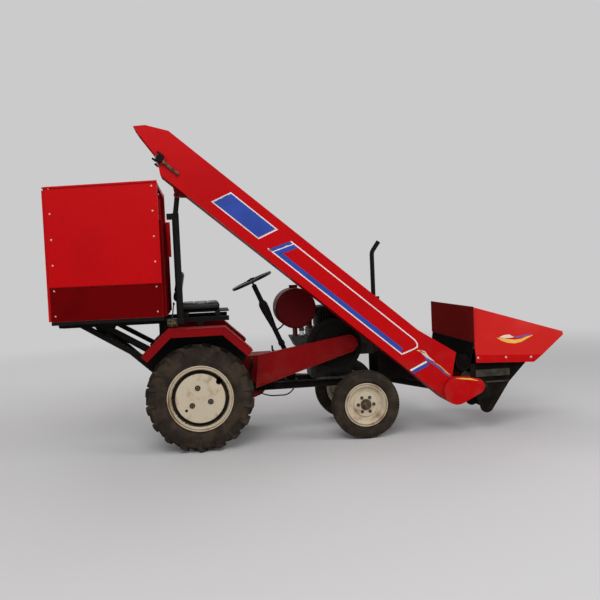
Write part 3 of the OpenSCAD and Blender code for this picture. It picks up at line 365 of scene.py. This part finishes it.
def add_rod(source, low, high, r, sides, end_r=None):
    """Adds a rod or cone between two points, with radii in millimetres."""
    run = high - low
    turn = run.to_track_quat("Z", "Y").to_matrix().to_4x4()
    end_r = r if end_r is None else end_r
    bmesh.ops.create_cone(source, cap_ends=True, segments=sides, radius1=r * MM, radius2=end_r * MM,
        depth=run.length, matrix=Matrix.Translation((low + high) / 2) @ turn)


def add_dome(source, place, direction, r):
    """Adds a rivet head."""
    turn = direction.to_track_quat("Z", "Y").to_matrix().to_4x4()
    flat = Matrix.Diagonal((1, 1, 0.5, 1))
    bmesh.ops.create_uvsphere(source, u_segments=10, v_segments=6, radius=r * MM,
        matrix=Matrix.Translation(place) @ turn @ flat)


def add_block(source, centre, size, tilt=0.0):
    """Adds a block of a size in millimetres round a point, turned by tilt about Y."""
    bmesh.ops.create_cube(source, size=1.0, matrix=Matrix.Translation(centre)
        @ Matrix.Rotation(tilt, 4, "Y") @ Matrix.Diagonal((*[v * MM for v in size], 1)))


WASHER_T, STUD_OUT, STUD_SHARE = 3, 4, 0.45


def bolts(name, places, body, r, h, washer, head=BOLT, base=GRIME_AND_SHADE):
    """Hexagon heads with studs and round washers, at places that each hold a point and a direction."""
    heads, washers = bmesh.new(), bmesh.new()
    for place, direction in places:
        add_rod(heads, place, place + direction * h * MM, r, 6)
        add_rod(washers, place, place + direction * WASHER_T * MM, washer, 24)
        add_rod(washers, place, place + direction * (h + STUD_OUT) * MM, STUD_SHARE * r, 12)
    add_piece(name, heads, head, body)
    add_piece(f"{name}_washers", washers, base, body)


def recolour(node, material, chosen):
    """Gives another material to the faces of a node whose middle and direction are chosen."""
    data = nodes[node].data
    data.materials.append(material)
    for polygon in data.polygons:
        if chosen(polygon.center, polygon.normal):
            polygon.material_index = len(data.materials) - 1


def beside(points, d):
    """A line of x, z points moved by d to its right, with mitred corners."""
    result = []
    runs = [(Vector(b) - Vector(a)).normalized() for a, b in zip(points, points[1:])]
    for i, point in enumerate(points):
        before, after = runs[max(i - 1, 0)], runs[min(i, len(runs) - 1)]
        out = Vector((before.y + after.y, -before.x - after.x)).normalized()
        result.append(Vector(point) + out * d / out.dot(Vector((before.y, -before.x))))
    return result


# Painted films on the elevator, boot and hoods

def band(s0, s1, h0, h1, lean):
    """Two lines across the elevator: a band from s0 to s1 between heights h0 and h1, leaning by lean."""
    shift = lean * (h1 - h0)
    return ([on_slope(s0, h0), on_slope(s0 + shift, h1)], [on_slope(s1, h0), on_slope(s1 + shift, h1)])


def along(s0, s1, h0, h1):
    """Two lines down the elevator: a band at heights h0 to h1 from s0 to s1."""
    return ([on_slope(s0, h0), on_slope(s1, h0)], [on_slope(s0, h1), on_slope(s1, h1)])


def wave(points, widths):
    """Two lines of x, z points either side of a line, apart by the widths."""
    rails = ([], [])
    for i, (x, z) in enumerate(points):
        before, after = points[max(i - 1, 0)], points[min(i + 1, len(points) - 1)]
        run = Vector((after[0] - before[0], after[1] - before[1])).normalized()
        for rail, sign in zip(rails, (1, -1)):
            rail.append((x - sign * run.y * widths[i] / 2, z + sign * run.x * widths[i] / 2))
    return rails


WALL = "elevator_walls"
PLATE_LEAN, FRAME_LEAN, BAR_LEAN = 0.48, 0.62, 0.45
FRAME_OUT = [(1206, 250), (2610, 250), (2652, 236), (2672, 210), (2660, 178), (2600, 72)]
FRAME_IN = [(1206, 240), (2606, 240), (2644, 228), (2658, 208), (2648, 182), (2590, 80)]
plate_edge = [
    band(468, 482, 87, 255, PLATE_LEAN),
    band(964, 978, 87, 255, PLATE_LEAN),
    along(478, 970, 87, 96),
    along(555, 1046, 246, 255),
]
frame_blue = [
    band(1098, 1130, 72, 236, FRAME_LEAN),
    band(1144, 1190, 80, 236, FRAME_LEAN),
    along(1196, 2572, 80, 120),
]
frame_white = [
    [[on_slope(*place) for place in line] for line in (FRAME_OUT, FRAME_IN)],
    along(1088, 2600, 70, 80),
    band(1130, 1144, 80, 240, FRAME_LEAN),
]
ribbon("elevator_plate", WALL, [band(482, 964, 96, 246, PLATE_LEAN)], BLUE)
ribbon("elevator_plate_edge", WALL, plate_edge, WHITE)
ribbon("elevator_frame_blue", WALL, frame_blue, BLUE)
ribbon("elevator_frame_white", WALL, frame_white, WHITE)
ribbon("elevator_bar_white", WALL, [band(2738, 2756, 8, 160, BAR_LEAN)], WHITE)
ribbon("elevator_bar_blue", WALL, [band(2756, 2790, 8, 150, BAR_LEAN)], BLUE)

FLOURISH = [(1925, 752), (1975, 724), (2015, 676), (2070, 640), (2125, 600), (2175, 548), (2220, 512)]
FLOURISH_TIP = [(1916, 770), (1950, 762), (1996, 738)]
BOOT_FLOURISH = [(2250, 505), (2320, 498), (2395, 488), (2458, 471)]
pearl_line = [(x + 4, z + 22) for x, z in FLOURISH[:4]]
yellow_line = [(x - 4, z + 18) for x, z in FLOURISH[3:]]
yellow_waves = [wave(FLOURISH_TIP, [4, 18, 3]), wave(yellow_line, [2, 10, 14, 3])]
ribbon("elevator_flourish_blue", WALL, [wave(FLOURISH[1:], [2, 26, 18, 20, 18, 4])], VIOLET)
ribbon("elevator_flourish_white", WALL, [wave(pearl_line, [2, 34, 22, 3])], PEARL)
ribbon("elevator_flourish_yellow", WALL, yellow_waves, YELLOW)
ribbon("boot_flourish", "boot_cover", [wave(BOOT_FLOURISH, [3, 15, 15, 4])], YELLOW)

HOOD_SWEEP = [(2660, 840), (2706, 822), (2763, 806), (2826, 798), (2886, 806), (2944, 828), (3004, 846)]
HOOD_FILMS = (
    ("yellow", YELLOW, HOOD_SWEEP, [3, 24, 34, 32, 26, 18, 3]),
    ("white", PEARL, [(2684, 844), (2729, 846), (2780, 848), (2820, 838)], [3, 28, 30, 4]),
    ("blue", VIOLET, [(2796, 850), (2861, 836), (2937, 846), (3000, 858)], [2, 14, 12, 2]),
)
for side_name, side in SIDES:
    for colour_name, film, points, widths in HOOD_FILMS:
        name = f"hood_flourish_{colour_name}_{side_name}"
        ribbon(name, "divider_hoods", [wave(points, widths)], film, side)

# Rivets of the ear box with painted highlights, bolts of the hoods, and painted sheen on the hoods' outer
# panels

RIVET_X, RIVET_Z, RIVET_R = (-1150, -318), (1232, 1441, 1652, 1864, 2077, 2285), 8
rivets = bmesh.new()
for x in RIVET_X:
    for z in RIVET_Z:
        for side in (-1, 1):
            add_dome(rivets, *surface("box_sides", x, z, side), RIVET_R)
# The rivet heads carry the pale pink of a painted highlight
add_piece("box_rivets", rivets, RIVET_HIGHLIGHT, "ear_box")

HOOD_BOLTS, HOOD_BOLT_SIZES = ((2463, 676), (2724, 666), (2960, 655)), (7, 5, 10)
hood_places = [surface("divider_hoods", x, z, side) for x, z in HOOD_BOLTS for side in (-1, 1)]
bolts("hood_bolts", hood_places, "picker", *HOOD_BOLT_SIZES, ZINC, ZINC)
OUTER_HOODS = 300 * MM


def sunlit(place, normal):
    """Whether a face is one of the leaning outer panels of the outer hoods."""
    outward = normal.y * math.copysign(1, place.y)
    return abs(place.y) > OUTER_HOODS and outward > 0.3 and normal.z > 0.1


# Painted sheen: the outer hood panels get a lighter red that stands in for light falling on them
recolour("divider_hoods", SHEEN_HOOD_RED, sunlit)

# Wheels

BEAD_R = 4
CAP_REACH, CAP_DEPTH = 52 * MM, 34 * MM
GROOVE, GROOVE_DEPTH = (212 * MM, 246 * MM), 12 * MM
# Axle, bolt circle, bolt angles, bolt size with depth and washer, radii of the beads, radii of the shade
WHEELS = (
    ("rear", 92, (102, 219, -20), (16, 12, 24), (278, 259), (263, 274)),
    ("front", 71, range(0, 360, 60), (10, 14, 15), (189, 170), (174, 185)),
)


def on_rim(rim, side, r, angles):
    """Points of a rim's skin at radius r, at angles seen from its right."""
    low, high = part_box(rim)
    centre_x, centre_z = ((low.x + high.x) / 2 - AXLE_X) / MM, (low.z + high.z) / 2 / MM
    turns = [math.radians(angle) for angle in angles]
    return [surface(rim, centre_x + r * math.cos(a), centre_z + r * math.sin(a), side)[0] for a in turns]


def rim_rings(rim, body, side, beads, shade):
    """Two raised beads round a rim's edge, each at a radius, and a ring of painted shade between two radii.
    """
    for place, r in zip(("outer", "inner"), beads):
        line = on_rim(rim, side, r, range(0, 360, 15))
        add_tube(f"{rim}_bead_{place}", line, BEAD_R, CREAM, body, closed=True)
    lift = Vector((0, side * FILM_LIFT, 0))
    source = bmesh.new()
    circles = []
    for r in shade:
        circles.append([source.verts.new(place + lift) for place in on_rim(rim, side, r, range(0, 360, 6))])
    inner, outer = circles
    for i in range(len(inner)):
        source.faces.new((inner[i - 1], outer[i - 1], outer[i], inner[i]))
    bmesh.ops.recalc_face_normals(source, faces=source.faces)
    add_piece(f"{rim}_shade", source, RIM_SHADE, body)


def add_tread(name, tyre, body, count=72, block=(15, 17, 14), out=36, sunk=9):
    """Shoulder blocks round both edges of a road tyre."""
    low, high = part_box(tyre)
    centre, r = (low + high) / 2, (high.z - low.z) / 2
    source = bmesh.new()
    for i in range(count):
        for side in (-1, 1):
            turn = Matrix.Rotation(2 * math.pi * (i + 0.25 * side) / count, 4, "Y")
            shift = Matrix.Translation((0, side * out * MM, r - sunk * MM))
            size = Matrix.Diagonal((*[v * MM for v in block], 1))
            bmesh.ops.create_cube(source, size=1.0, matrix=Matrix.Translation(centre) @ turn @ shift @ size)
    add_piece(name, source, TYRE, body)


def around(rim, side):
    """A function of a point: its distance from a wheel's axle and its depth behind the rim's outer lip."""
    low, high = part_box(rim)
    middle = (low + high) / 2
    face = max(low.y * side, high.y * side)
    return lambda p: (math.hypot(p.x - middle.x, p.z - middle.z), face - p.y * side)


for side_name, side in SIDES:
    for axle, bolt_r, angles, sizes, beads, shade in WHEELS:
        rim, body = f"{axle}_rim_{side_name}", f"{axle}_wheel_{side_name}"
        places = [(place, Vector((0, side, 0))) for place in on_rim(rim, side, bolt_r, angles)]
        bolts(f"{axle}_bolts_{side_name}", places, body, *sizes)
        rim_rings(rim, body, side, beads, shade)
    add_tread(f"front_tread_{side_name}", f"front_tyre_{side_name}", f"front_wheel_{side_name}")
    front_rim, rear_rim = f"front_rim_{side_name}", f"rear_rim_{side_name}"
    front, rear = around(front_rim, side), around(rear_rim, side)
    recolour(front_rim, HUB, lambda p, n: front(p)[0] < CAP_REACH and front(p)[1] < CAP_DEPTH)
    # Painted shade: the deep groove round the rear disc is near-black for the shadow in it
    recolour(rear_rim, GRIME_AND_SHADE, lambda p, n: GROOVE[0] < rear(p)[0] < GROOVE[1] and rear(p)[1] > GROOVE_DEPTH)

# Elevator head bearings with their tensioners, placed down the slope and above its lower edge

BEARING_AT, BEARING_OUT, BEARING_BLOCK = (-84, 104), 20, (48, 36, 74)
BOSS_OUT, BOSS_R = (10, 52), 27
SLIDES_AT, SLIDE_OUT, SLIDE_BLOCK = ((-112, 66), (-112, 136)), 12, (40, 20, 16)
TENSIONER_H, TENSIONER_OUT = 96, 20
TENSIONER = ((-60, 118, 9), (-46, -28, 18), (-12, 66, 14), (96, 112, 18))
for (side_name, out), y in zip(SIDES, ELEVATOR_Y):
    bearing = bmesh.new()
    x, z = on_slope(*BEARING_AT)
    add_block(bearing, at(x, y + out * BEARING_OUT, z), BEARING_BLOCK, ELEVATOR_SLOPE)
    add_rod(bearing, at(x, y + out * BOSS_OUT[0], z), at(x, y + out * BOSS_OUT[1], z), BOSS_R, 24)
    for place in SLIDES_AT:
        x, z = on_slope(*place)
        add_block(bearing, at(x, y + out * SLIDE_OUT, z), SLIDE_BLOCK, ELEVATOR_SLOPE)
    add_piece(f"head_bearing_{side_name}", bearing, BLACK_PAINT_AND_SHADE, "picker")
    rod = bmesh.new()
    rod_y = y + out * TENSIONER_OUT
    for s0, s1, r in TENSIONER:
        low, high = [on_slope(s, TENSIONER_H) for s in (s0, s1)]
        add_rod(rod, at(low[0], rod_y, low[1]), at(high[0], rod_y, high[1]), r, 12)
    add_piece(f"tensioner_{side_name}", rod, HUB, "picker")

# Lamp lenses, and the valve's knobs and fittings

LENS_R, LENS_INSET, LENS_BULGE = 46, 55, 0.18
lamp_low, lamp_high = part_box("headlamps")
lenses = bmesh.new()
for side in (-1, 1):
    lens_y = side * (lamp_high.y - LENS_INSET * MM)
    middle = Vector((lamp_high.x, lens_y, (lamp_low.z + lamp_high.z) / 2))
    turn = Matrix.Rotation(math.radians(90), 4, "Y")
    bmesh.ops.create_uvsphere(lenses, u_segments=24, v_segments=12, radius=LENS_R * MM,
        matrix=Matrix.Translation(middle) @ turn @ Matrix.Diagonal((1, 1, LENS_BULGE, 1)))
add_piece("lamp_lenses", lenses, GLASS, "tractor")

LEVER_Y, LEVER_TOP = (-380, -365, -350), (-192, 1280)
KNOB_R, KNOB_STRETCH = 9, 1.5
FITTING_X, FITTING_Z = (-236, -212, -188), 1112
FITTING = ((-394, -420, 9, 6), (-418, -428, 6, 14))
knobs = bmesh.new()
fittings = bmesh.new()
for y in LEVER_Y:
    top = Matrix.Translation(at(LEVER_TOP[0], y, LEVER_TOP[1]))
    bmesh.ops.create_uvsphere(knobs, u_segments=14, v_segments=10, radius=KNOB_R * MM,
        matrix=top @ Matrix.Diagonal((1, 1, KNOB_STRETCH, 1)))
for x in FITTING_X:
    for y0, y1, r, sides in FITTING:
        add_rod(fittings, at(x, y0, FITTING_Z), at(x, y1, FITTING_Z), r, sides)
add_piece("lever_knobs", knobs, GRIP, "tractor")
add_piece("valve_fittings", fittings, BRASS, "tractor")

# Beads of the belt guard and the fenders

GUARD_NOSE, NOSE_R, NOSE_Y = (1367, 833), 58, -285
GUARD_FOLD_Y = -284
GUARD_FOLD = [(508, 502), (900, 628), (1290, 753), (1352, 768)]
nose_turns = [math.radians(angle) for angle in range(0, 360, 15)]
nose_ring = [at(GUARD_NOSE[0] + NOSE_R * math.cos(a), NOSE_Y, GUARD_NOSE[1] + NOSE_R * math.sin(a))
    for a in nose_turns]
add_tube("guard_ring", nose_ring, BEAD_R, DARK_RED, "tractor", closed=True)
guard_fold = [at(x, GUARD_FOLD_Y, z) for x, z in GUARD_FOLD]
add_tube("guard_fold", guard_fold, BEAD_R, DARK_RED, "tractor", smooth=False)

FENDER_LINE, FENDER_Y = ((-475, 858), (-249, 1073), (242, 1073), (466, 862)), (380, 616)
FENDER_BEADS, FENDER_BEAD_R, FENDER_BEAD_INSET = (("bead", 65), ("fold", 5)), 6, 3
FENDER_SKIN = 2
for side_name, side in SIDES:
    for bead, drop in FENDER_BEADS:
        bead_y = side * (FENDER_Y[1] - FENDER_BEAD_INSET)
        line = [at(x, bead_y, z) for x, z in beside(FENDER_LINE, drop)]
        add_tube(f"fender_{bead}_{side_name}", line, FENDER_BEAD_R, DARK_RED, "tractor",
            smooth=False)


def in_arch(place, normal):
    """Whether a fender's face looks into its wheel arch."""
    side = math.copysign(1, place.y)
    y = abs(place.y) / MM
    if abs(normal.y) > 0.9:
        outer = y > sum(FENDER_Y) / 2
        inside = FENDER_Y[0] + FENDER_SKIN < y < FENDER_Y[1] - FENDER_SKIN
        return inside and (normal.y * side < 0) == outer
    return normal.z < 0 and y < FENDER_Y[1] - FENDER_SKIN


# Painted shade: faces inside the wheel arches are black for the deep shadow there
recolour("fenders", BLACK_PAINT_AND_SHADE, in_arch)

# Darker faces low on the gearbox and tank and at the auger's ends on the header, and a painted highlight on
# the header's outer bars

TANK_MID, TANK_R = at(909, 0, 1173), 186 * MM
OIL_LINE, FRAME_FACE, AUGER_END = 430 * MM, 582.5 * MM, 570 * MM


def in_cradle(place, normal):
    """Whether a face of the tank belongs to the cradle under it."""
    beyond = math.hypot(place.x - TANK_MID.x, place.z - TANK_MID.z) > TANK_R
    return beyond and place.z < TANK_MID.z and abs(normal.y) < 0.9


recolour("transmission", GRIME_AND_SHADE, lambda p, n: p.z < OIL_LINE and n.z < 0.5)
recolour("fuel_tank", BLACK_PAINT_AND_SHADE, in_cradle)
# Painted highlight on the outer faces of the row frames' bars
recolour("row_frames", BAR_HIGHLIGHT_GREY, lambda p, n: abs(p.y) > FRAME_FACE)
recolour("cross_auger", GRIME_AND_SHADE, lambda p, n: abs(p.y) > AUGER_END)

# Lips along the top of the ear box

BOX_TOP = ((-1185, 2291), (-272, 2323))
LIP_Y, LIP_SIZE = 585, (12, 14)
lips = bmesh.new()
for side in (-1, 1):
    rear, front = [at(x, side * LIP_Y, z) for x, z in BOX_TOP]
    slope = math.atan2(front.z - rear.z, front.x - rear.x)
    add_block(lips, (rear + front) / 2, ((front - rear).length / MM, *LIP_SIZE), -slope)
add_piece("box_lips", lips, RED, "ear_box")

# Darker red along the foot of the ear box's sides, as thin sheets with a lip on top, in the same red as the
# shaded box front

SKIRT_X, SKIRT_Z, SKIRT_T, SKIRT_LIP = (-1184, -273), (1187, 1465), 2, (6, 10)
skin_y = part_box("box_sides")[1].y / MM
middle_x, length = sum(SKIRT_X) / 2, SKIRT_X[1] - SKIRT_X[0]
skirts = bmesh.new()
for side in (-1, 1):
    add_block(skirts, at(middle_x, side * (skin_y + SKIRT_T / 2), sum(SKIRT_Z) / 2),
        (length, SKIRT_T, SKIRT_Z[1] - SKIRT_Z[0]))
    add_block(skirts, at(middle_x, side * (skin_y + SKIRT_LIP[0] / 2), SKIRT_Z[1]), (length, *SKIRT_LIP))
add_piece("box_skirts", skirts, SHADED_RED, "ear_box")

# Folded ribs on the front of the ear box, and a narrow plate that stands forward of it

BOX_FRONT, WALL_Z = -272, (1187, 2003)
RIB_Y, RIB_OUT, RIB_WIDTH, RIB_T = (-530, -230, 60, 350), 26, 34, 5
middle, height = sum(WALL_Z) / 2, WALL_Z[1] - WALL_Z[0]
ribs = bmesh.new()
for y in RIB_Y:
    add_block(ribs, at(BOX_FRONT + RIB_OUT / 2, y, middle), (RIB_OUT, RIB_T, height))
    add_block(ribs, at(BOX_FRONT + RIB_OUT, y + RIB_WIDTH / 2, middle), (RIB_T, RIB_WIDTH, height))
# The ribs carry the same painted shade as the front wall
add_piece("box_front_ribs", ribs, SHADED_RED, "ear_box")
PLATE_Y, PLATE_Z, PLATE_H, PLATE_OUT = 200, 1865, 330, 58
plate = bmesh.new()
add_block(plate, at(BOX_FRONT + PLATE_OUT / 2, PLATE_Y, PLATE_Z), (PLATE_OUT, RIB_T, PLATE_H))
add_block(plate, at(BOX_FRONT + RIB_T / 2, PLATE_Y + RIB_WIDTH / 2, PLATE_Z), (RIB_T, RIB_WIDTH, PLATE_H))
add_piece("box_front_plate", plate, RED, "ear_box")

# Parts round the steering column and under the tank

COLUMN_FOOT, COLUMN_LEAN = (835, 705), math.radians(23)
SLEEVE = ((330, 500, 25, 41), (500, 560, 41, 41), (560, 590, 41, 27))
FILTER_AT, FILTER, BOWL = (955, -128), ((962, 992, 24, 24), (912, 922, 12, 6)), (921, 963, 20, 24)
FUEL_PIPE = ((955, -128, 975), (990, -135, 965), (1022, -133, 915), (1034, -126, 860))
VALVE_PIPE = ((0, -362, 1092), (0, -362, 970), (0, -300, 880), (60, -120, 770), (70, -100, 735))
VALVE_PIPE_X = (-230, -200)
PIPE_R, FUEL_PIPE_R = 8, 4


def on_column(t, y=0):
    """A place on the steering column, t up from its foot."""
    return at(COLUMN_FOOT[0] - t * math.sin(COLUMN_LEAN), y, COLUMN_FOOT[1] + t * math.cos(COLUMN_LEAN))


sleeve = bmesh.new()
for t0, t1, r0, r1 in SLEEVE:
    add_rod(sleeve, on_column(t0), on_column(t1), r0, 28, r1)
add_rod(sleeve, on_column(150, -60), on_column(150, 60), 8, 14)
add_rod(sleeve, on_column(135), on_column(170), 30, 24)
add_piece("column_sleeve", sleeve, BLACK_PAINT_AND_SHADE, "tractor")
throttle = [on_column(285, -20), at(770, -30, 995), at(808, -40, 1036)]
add_tube("throttle_rod", throttle, PIPE_R, BLACK_PAINT_AND_SHADE, "tractor")

fuel_filter, fuel_bowl = bmesh.new(), bmesh.new()
for z0, z1, r, sides in FILTER:
    add_rod(fuel_filter, at(*FILTER_AT, z0), at(*FILTER_AT, z1), r, sides)
add_rod(fuel_bowl, at(*FILTER_AT, BOWL[0]), at(*FILTER_AT, BOWL[1]), *BOWL[2:])
add_piece("fuel_filter", fuel_filter, IRON, "tractor")
add_piece("fuel_bowl", fuel_bowl, GLASS, "tractor")
fuel_line = [at(*place) for place in FUEL_PIPE]
add_tube("fuel_pipe", fuel_line, FUEL_PIPE_R, BRASS, "tractor")
for x in VALVE_PIPE_X:
    bends = [at(x + along_x, y, z) for along_x, y, z in VALVE_PIPE]
    add_tube(f"valve_pipe_{-x}", bends, PIPE_R, BLACK_PAINT_AND_SHADE, "tractor")

# Gear cover on the left of the engine, with its bolts, crank socket and oil filler

COVER_Y, COVER_T, COVER_SUNK, BOLT_INSET = 180, 10, 2, 22
COVER = [
    (1075, 562), (1300, 548), (1378, 640), (1384, 800),
    (1300, 905), (1120, 915), (1064, 820), (1058, 640),
]
CRANK_SOCKET, OIL_FILLER = (1243, 760), (1340, 590)
FILLERS = (
    (CRANK_SOCKET, 46, 18),
    (CRANK_SOCKET, 30, 34),
    (OIL_FILLER, 20, 26),
    (OIL_FILLER, 13, 40),
)
cover = bmesh.new()
foot = cover.faces.new([cover.verts.new(at(x, COVER_Y - COVER_SUNK, z)) for x, z in COVER])
raised = bmesh.ops.extrude_face_region(cover, geom=[foot], use_keep_orig=True)["geom"]
corners = [item for item in raised if isinstance(item, bmesh.types.BMVert)]
bmesh.ops.translate(cover, verts=corners, vec=(0, (COVER_T + COVER_SUNK) * MM, 0))
bmesh.ops.recalc_face_normals(cover, faces=cover.faces)
add_piece("gear_cover", cover, ALLOY, "tractor")
fillers = bmesh.new()
for (x, z), r, out in FILLERS:
    add_rod(fillers, at(x, COVER_Y, z), at(x, COVER_Y + out, z), r, 28)
add_piece("cover_fillers", fillers, HUB, "tractor")
cover_bolts = [(at(x, COVER_Y + COVER_T, z), Vector((0, 1, 0))) for x, z in beside(COVER, -BOLT_INSET)]
bolts("gear_cover_bolts", cover_bolts, "tractor", 9, 8, 12, ZINC)

# Brake rod

BRAKE_ROD = [(470, 470), (539, 424), (612, 394), (705, 386), (798, 396), (850, 440)]
BRAKE_Y, BRAKE_R = -205, 6
brake_line = [at(x, BRAKE_Y, z) for x, z in BRAKE_ROD]
add_tube("brake_rod", brake_line, BRAKE_R, BLACK_PAINT_AND_SHADE, "tractor")

# Seat, stuffed by air pressure

SWELL = 0.012
VOXEL = 0.008
PAD_EDGE = 0.016
PRESSURE = 4
STUFFING_STEPS = 20
SEAMS = (-0.33, 0.33)


def baked(item):
    """A new mesh of an object as its modifiers leave it."""
    return bpy.data.meshes.new_from_object(item.evaluated_get(bpy.context.evaluated_depsgraph_get()))


def pad_mesh(name, half):
    """A stuffed pad round the origin with half sizes in metres, swollen out to them."""
    source = bmesh.new()
    bmesh.ops.create_cube(source, size=2.0, matrix=Matrix.Diagonal((*[v - SWELL for v in half], 1)))
    bmesh.ops.bevel(source, geom=source.edges[:], offset=PAD_EDGE, segments=3, profile=0.5, affect="EDGES")
    mesh = bpy.data.meshes.new(name)
    source.to_mesh(mesh)
    source.free()
    pad = bpy.data.objects.new(name, mesh)
    bpy.context.scene.collection.objects.link(pad)
    remesh = pad.modifiers.new("even", "REMESH")
    remesh.mode = "VOXEL"
    remesh.voxel_size = VOXEL
    pad.data = baked(pad)
    pad.modifiers.clear()
    start = [v.co.copy() for v in pad.data.vertices]
    cloth = pad.modifiers.new("stuffing", "CLOTH")
    cloth.settings.use_pressure = True
    cloth.settings.uniform_pressure_force = PRESSURE
    cloth.settings.effector_weights.gravity = 0
    for step in range(1, STUFFING_STEPS + 1):
        bpy.context.scene.frame_set(step)
    pad.data = baked(pad)
    pad.modifiers.clear()
    bpy.context.scene.frame_set(1)
    for vertex, first in zip(pad.data.vertices, start):
        move = vertex.co - first
        vertex.co = first + move * min(1.0, SWELL / max(move.length, 1e-9))
    result = pad.data
    bpy.data.objects.remove(pad)
    return result


def sew(mesh, half, lines, depth=0.007, width=0.011):
    """Presses sewn channels into a pad's face, across its width, at shares of its length."""
    for vertex in mesh.vertices:
        for share in lines:
            off = abs(vertex.co.x - share * half[0]) / width
            if off < 1 and vertex.co.z > 0:
                vertex.co.z -= depth * (1 - off * off)


CUSHION, CUSHION_AT = (0.195, 0.215, 0.040), (35, 0, 1235.5)
BACK, BACK_AT, BACK_LEAN = (0.155, 0.205, 0.032), (-152, 0, 1424), math.radians(-79)
PADS = (
    (CUSHION, Matrix.Translation(at(*CUSHION_AT))),
    (BACK, Matrix.Translation(at(*BACK_AT)) @ Matrix.Rotation(BACK_LEAN, 4, "Y")
        @ Matrix.Rotation(math.radians(180), 4, "Z")),
)
seat_source = bmesh.new()
for half, place in PADS:
    pad = pad_mesh("pad", half)
    sew(pad, half, SEAMS)
    pad.transform(place)
    seat_source.from_mesh(pad)
seat = add_piece("seat_cushion", seat_source, VINYL, "tractor")
for polygon in seat.data.polygons:
    polygon.use_smooth = True
seat.modifiers.new("soft", "SUBSURF").levels = 1
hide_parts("seat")

# Stage

BACKDROP = linear(204, 203, 204)


def seen_rays(tree):
    """1 where the camera sees the surface itself or in a shine or glass, 0 for light on the object."""
    path = tree.nodes.new("ShaderNodeLightPath")
    shiny = combined(tree, "MAXIMUM", path.outputs["Is Glossy Ray"], path.outputs["Is Transmission Ray"])
    return combined(tree, "MAXIMUM", path.outputs["Is Camera Ray"], shiny)


def floor_material():
    """A pale floor that keeps shadows near the object and fades to the backdrop far from it."""
    material, shader = new_material("floor", BACKDROP, 0.9, gloss=0.0)
    tree = material.node_tree
    place = tree.nodes.new("ShaderNodeTexCoord")
    reach = tree.nodes.new("ShaderNodeVectorMath")
    reach.operation = "LENGTH"
    tree.links.new(place.outputs["Object"], reach.inputs[0])
    far = ramp(tree, reach.outputs["Value"], 3.5, 11.0)
    glow = tree.nodes.new("ShaderNodeEmission")
    glow.inputs["Color"].default_value = BACKDROP
    both = tree.nodes.new("ShaderNodeMixShader")
    tree.links.new(combined(tree, "MULTIPLY", far, seen_rays(tree)), both.inputs["Fac"])
    tree.links.new(shader.outputs["BSDF"], both.inputs[1])
    tree.links.new(glow.outputs["Emission"], both.inputs[2])
    tree.links.new(both.outputs["Shader"], tree.nodes["Material Output"].inputs["Surface"])
    return material


FLOOR_HALF = 80
floor_corners = [(x * FLOOR_HALF, y * FLOOR_HALF, 0) for x, y in ((-1, -1), (1, -1), (1, 1), (-1, 1))]
floor_mesh = bpy.data.meshes.new("floor")
floor_mesh.from_pydata(floor_corners, [], [(0, 1, 2, 3)])
floor = bpy.data.objects.new("floor", floor_mesh)
bpy.context.scene.collection.objects.link(floor)
floor.data.materials.append(floor_material())

WORLD_LIGHT = 0.42
world = bpy.data.worlds.new("studio")
bpy.context.scene.world = world
world.use_nodes = True
sky = world.node_tree
sky.nodes["Background"].inputs["Color"].default_value = linear(255, 255, 255)
sky.nodes["Background"].inputs["Strength"].default_value = WORLD_LIGHT
pale = sky.nodes.new("ShaderNodeBackground")
pale.inputs["Color"].default_value = BACKDROP
sky_mix = sky.nodes.new("ShaderNodeMixShader")
sky.links.new(seen_rays(sky), sky_mix.inputs["Fac"])
sky.links.new(sky.nodes["Background"].outputs["Background"], sky_mix.inputs[1])
sky.links.new(pale.outputs["Background"], sky_mix.inputs[2])
sky.links.new(sky_mix.outputs["Shader"], sky.nodes["World Output"].inputs["Surface"])


def softbox(name, place, target, size, power):
    """A large square lamp that points at a target."""
    lamp = bpy.data.lights.new(name, "AREA")
    lamp.size = size
    lamp.energy = power
    item = bpy.data.objects.new(name, lamp)
    item.location = place
    item.rotation_euler = (Vector(target) - Vector(place)).to_track_quat("-Z", "Y").to_euler()
    bpy.context.scene.collection.objects.link(item)


softbox("key", (-1.5, -7.0, 6.5), (0, 0, 1.0), 5.0, 360)
softbox("front", (6.0, -4.0, 4.5), (0.8, 0, 1.0), 4.0, 170)
softbox("back", (-3.0, 6.0, 6.0), (0, 0, 1.0), 5.0, 200)

# Camera, as fitted to the photograph

AZIMUTH, PITCH, ROLL = math.radians(7.53), math.radians(2.65), math.radians(2.51)
EYE, FOCAL, SENSOR = (81, -6723, 1555), 43.07, 36
forward = Vector((
    math.sin(AZIMUTH) * math.cos(PITCH),
    math.cos(AZIMUTH) * math.cos(PITCH),
    -math.sin(PITCH),
))
level = Vector((math.cos(AZIMUTH), -math.sin(AZIMUTH), 0))
above = level.cross(forward)
right = math.cos(ROLL) * level - math.sin(ROLL) * above
up = math.sin(ROLL) * level + math.cos(ROLL) * above
camera_data = bpy.data.cameras.new("camera")
camera_data.sensor_width = SENSOR
camera_data.lens = FOCAL
camera = bpy.data.objects.new("camera", camera_data)
aim = Matrix((right, up, -forward)).transposed().to_4x4()
camera.matrix_world = Matrix.Translation(at(*EYE)) @ aim
bpy.context.scene.collection.objects.link(camera)
bpy.context.scene.camera = camera
bpy.context.scene.view_settings.view_transform = "Standard"
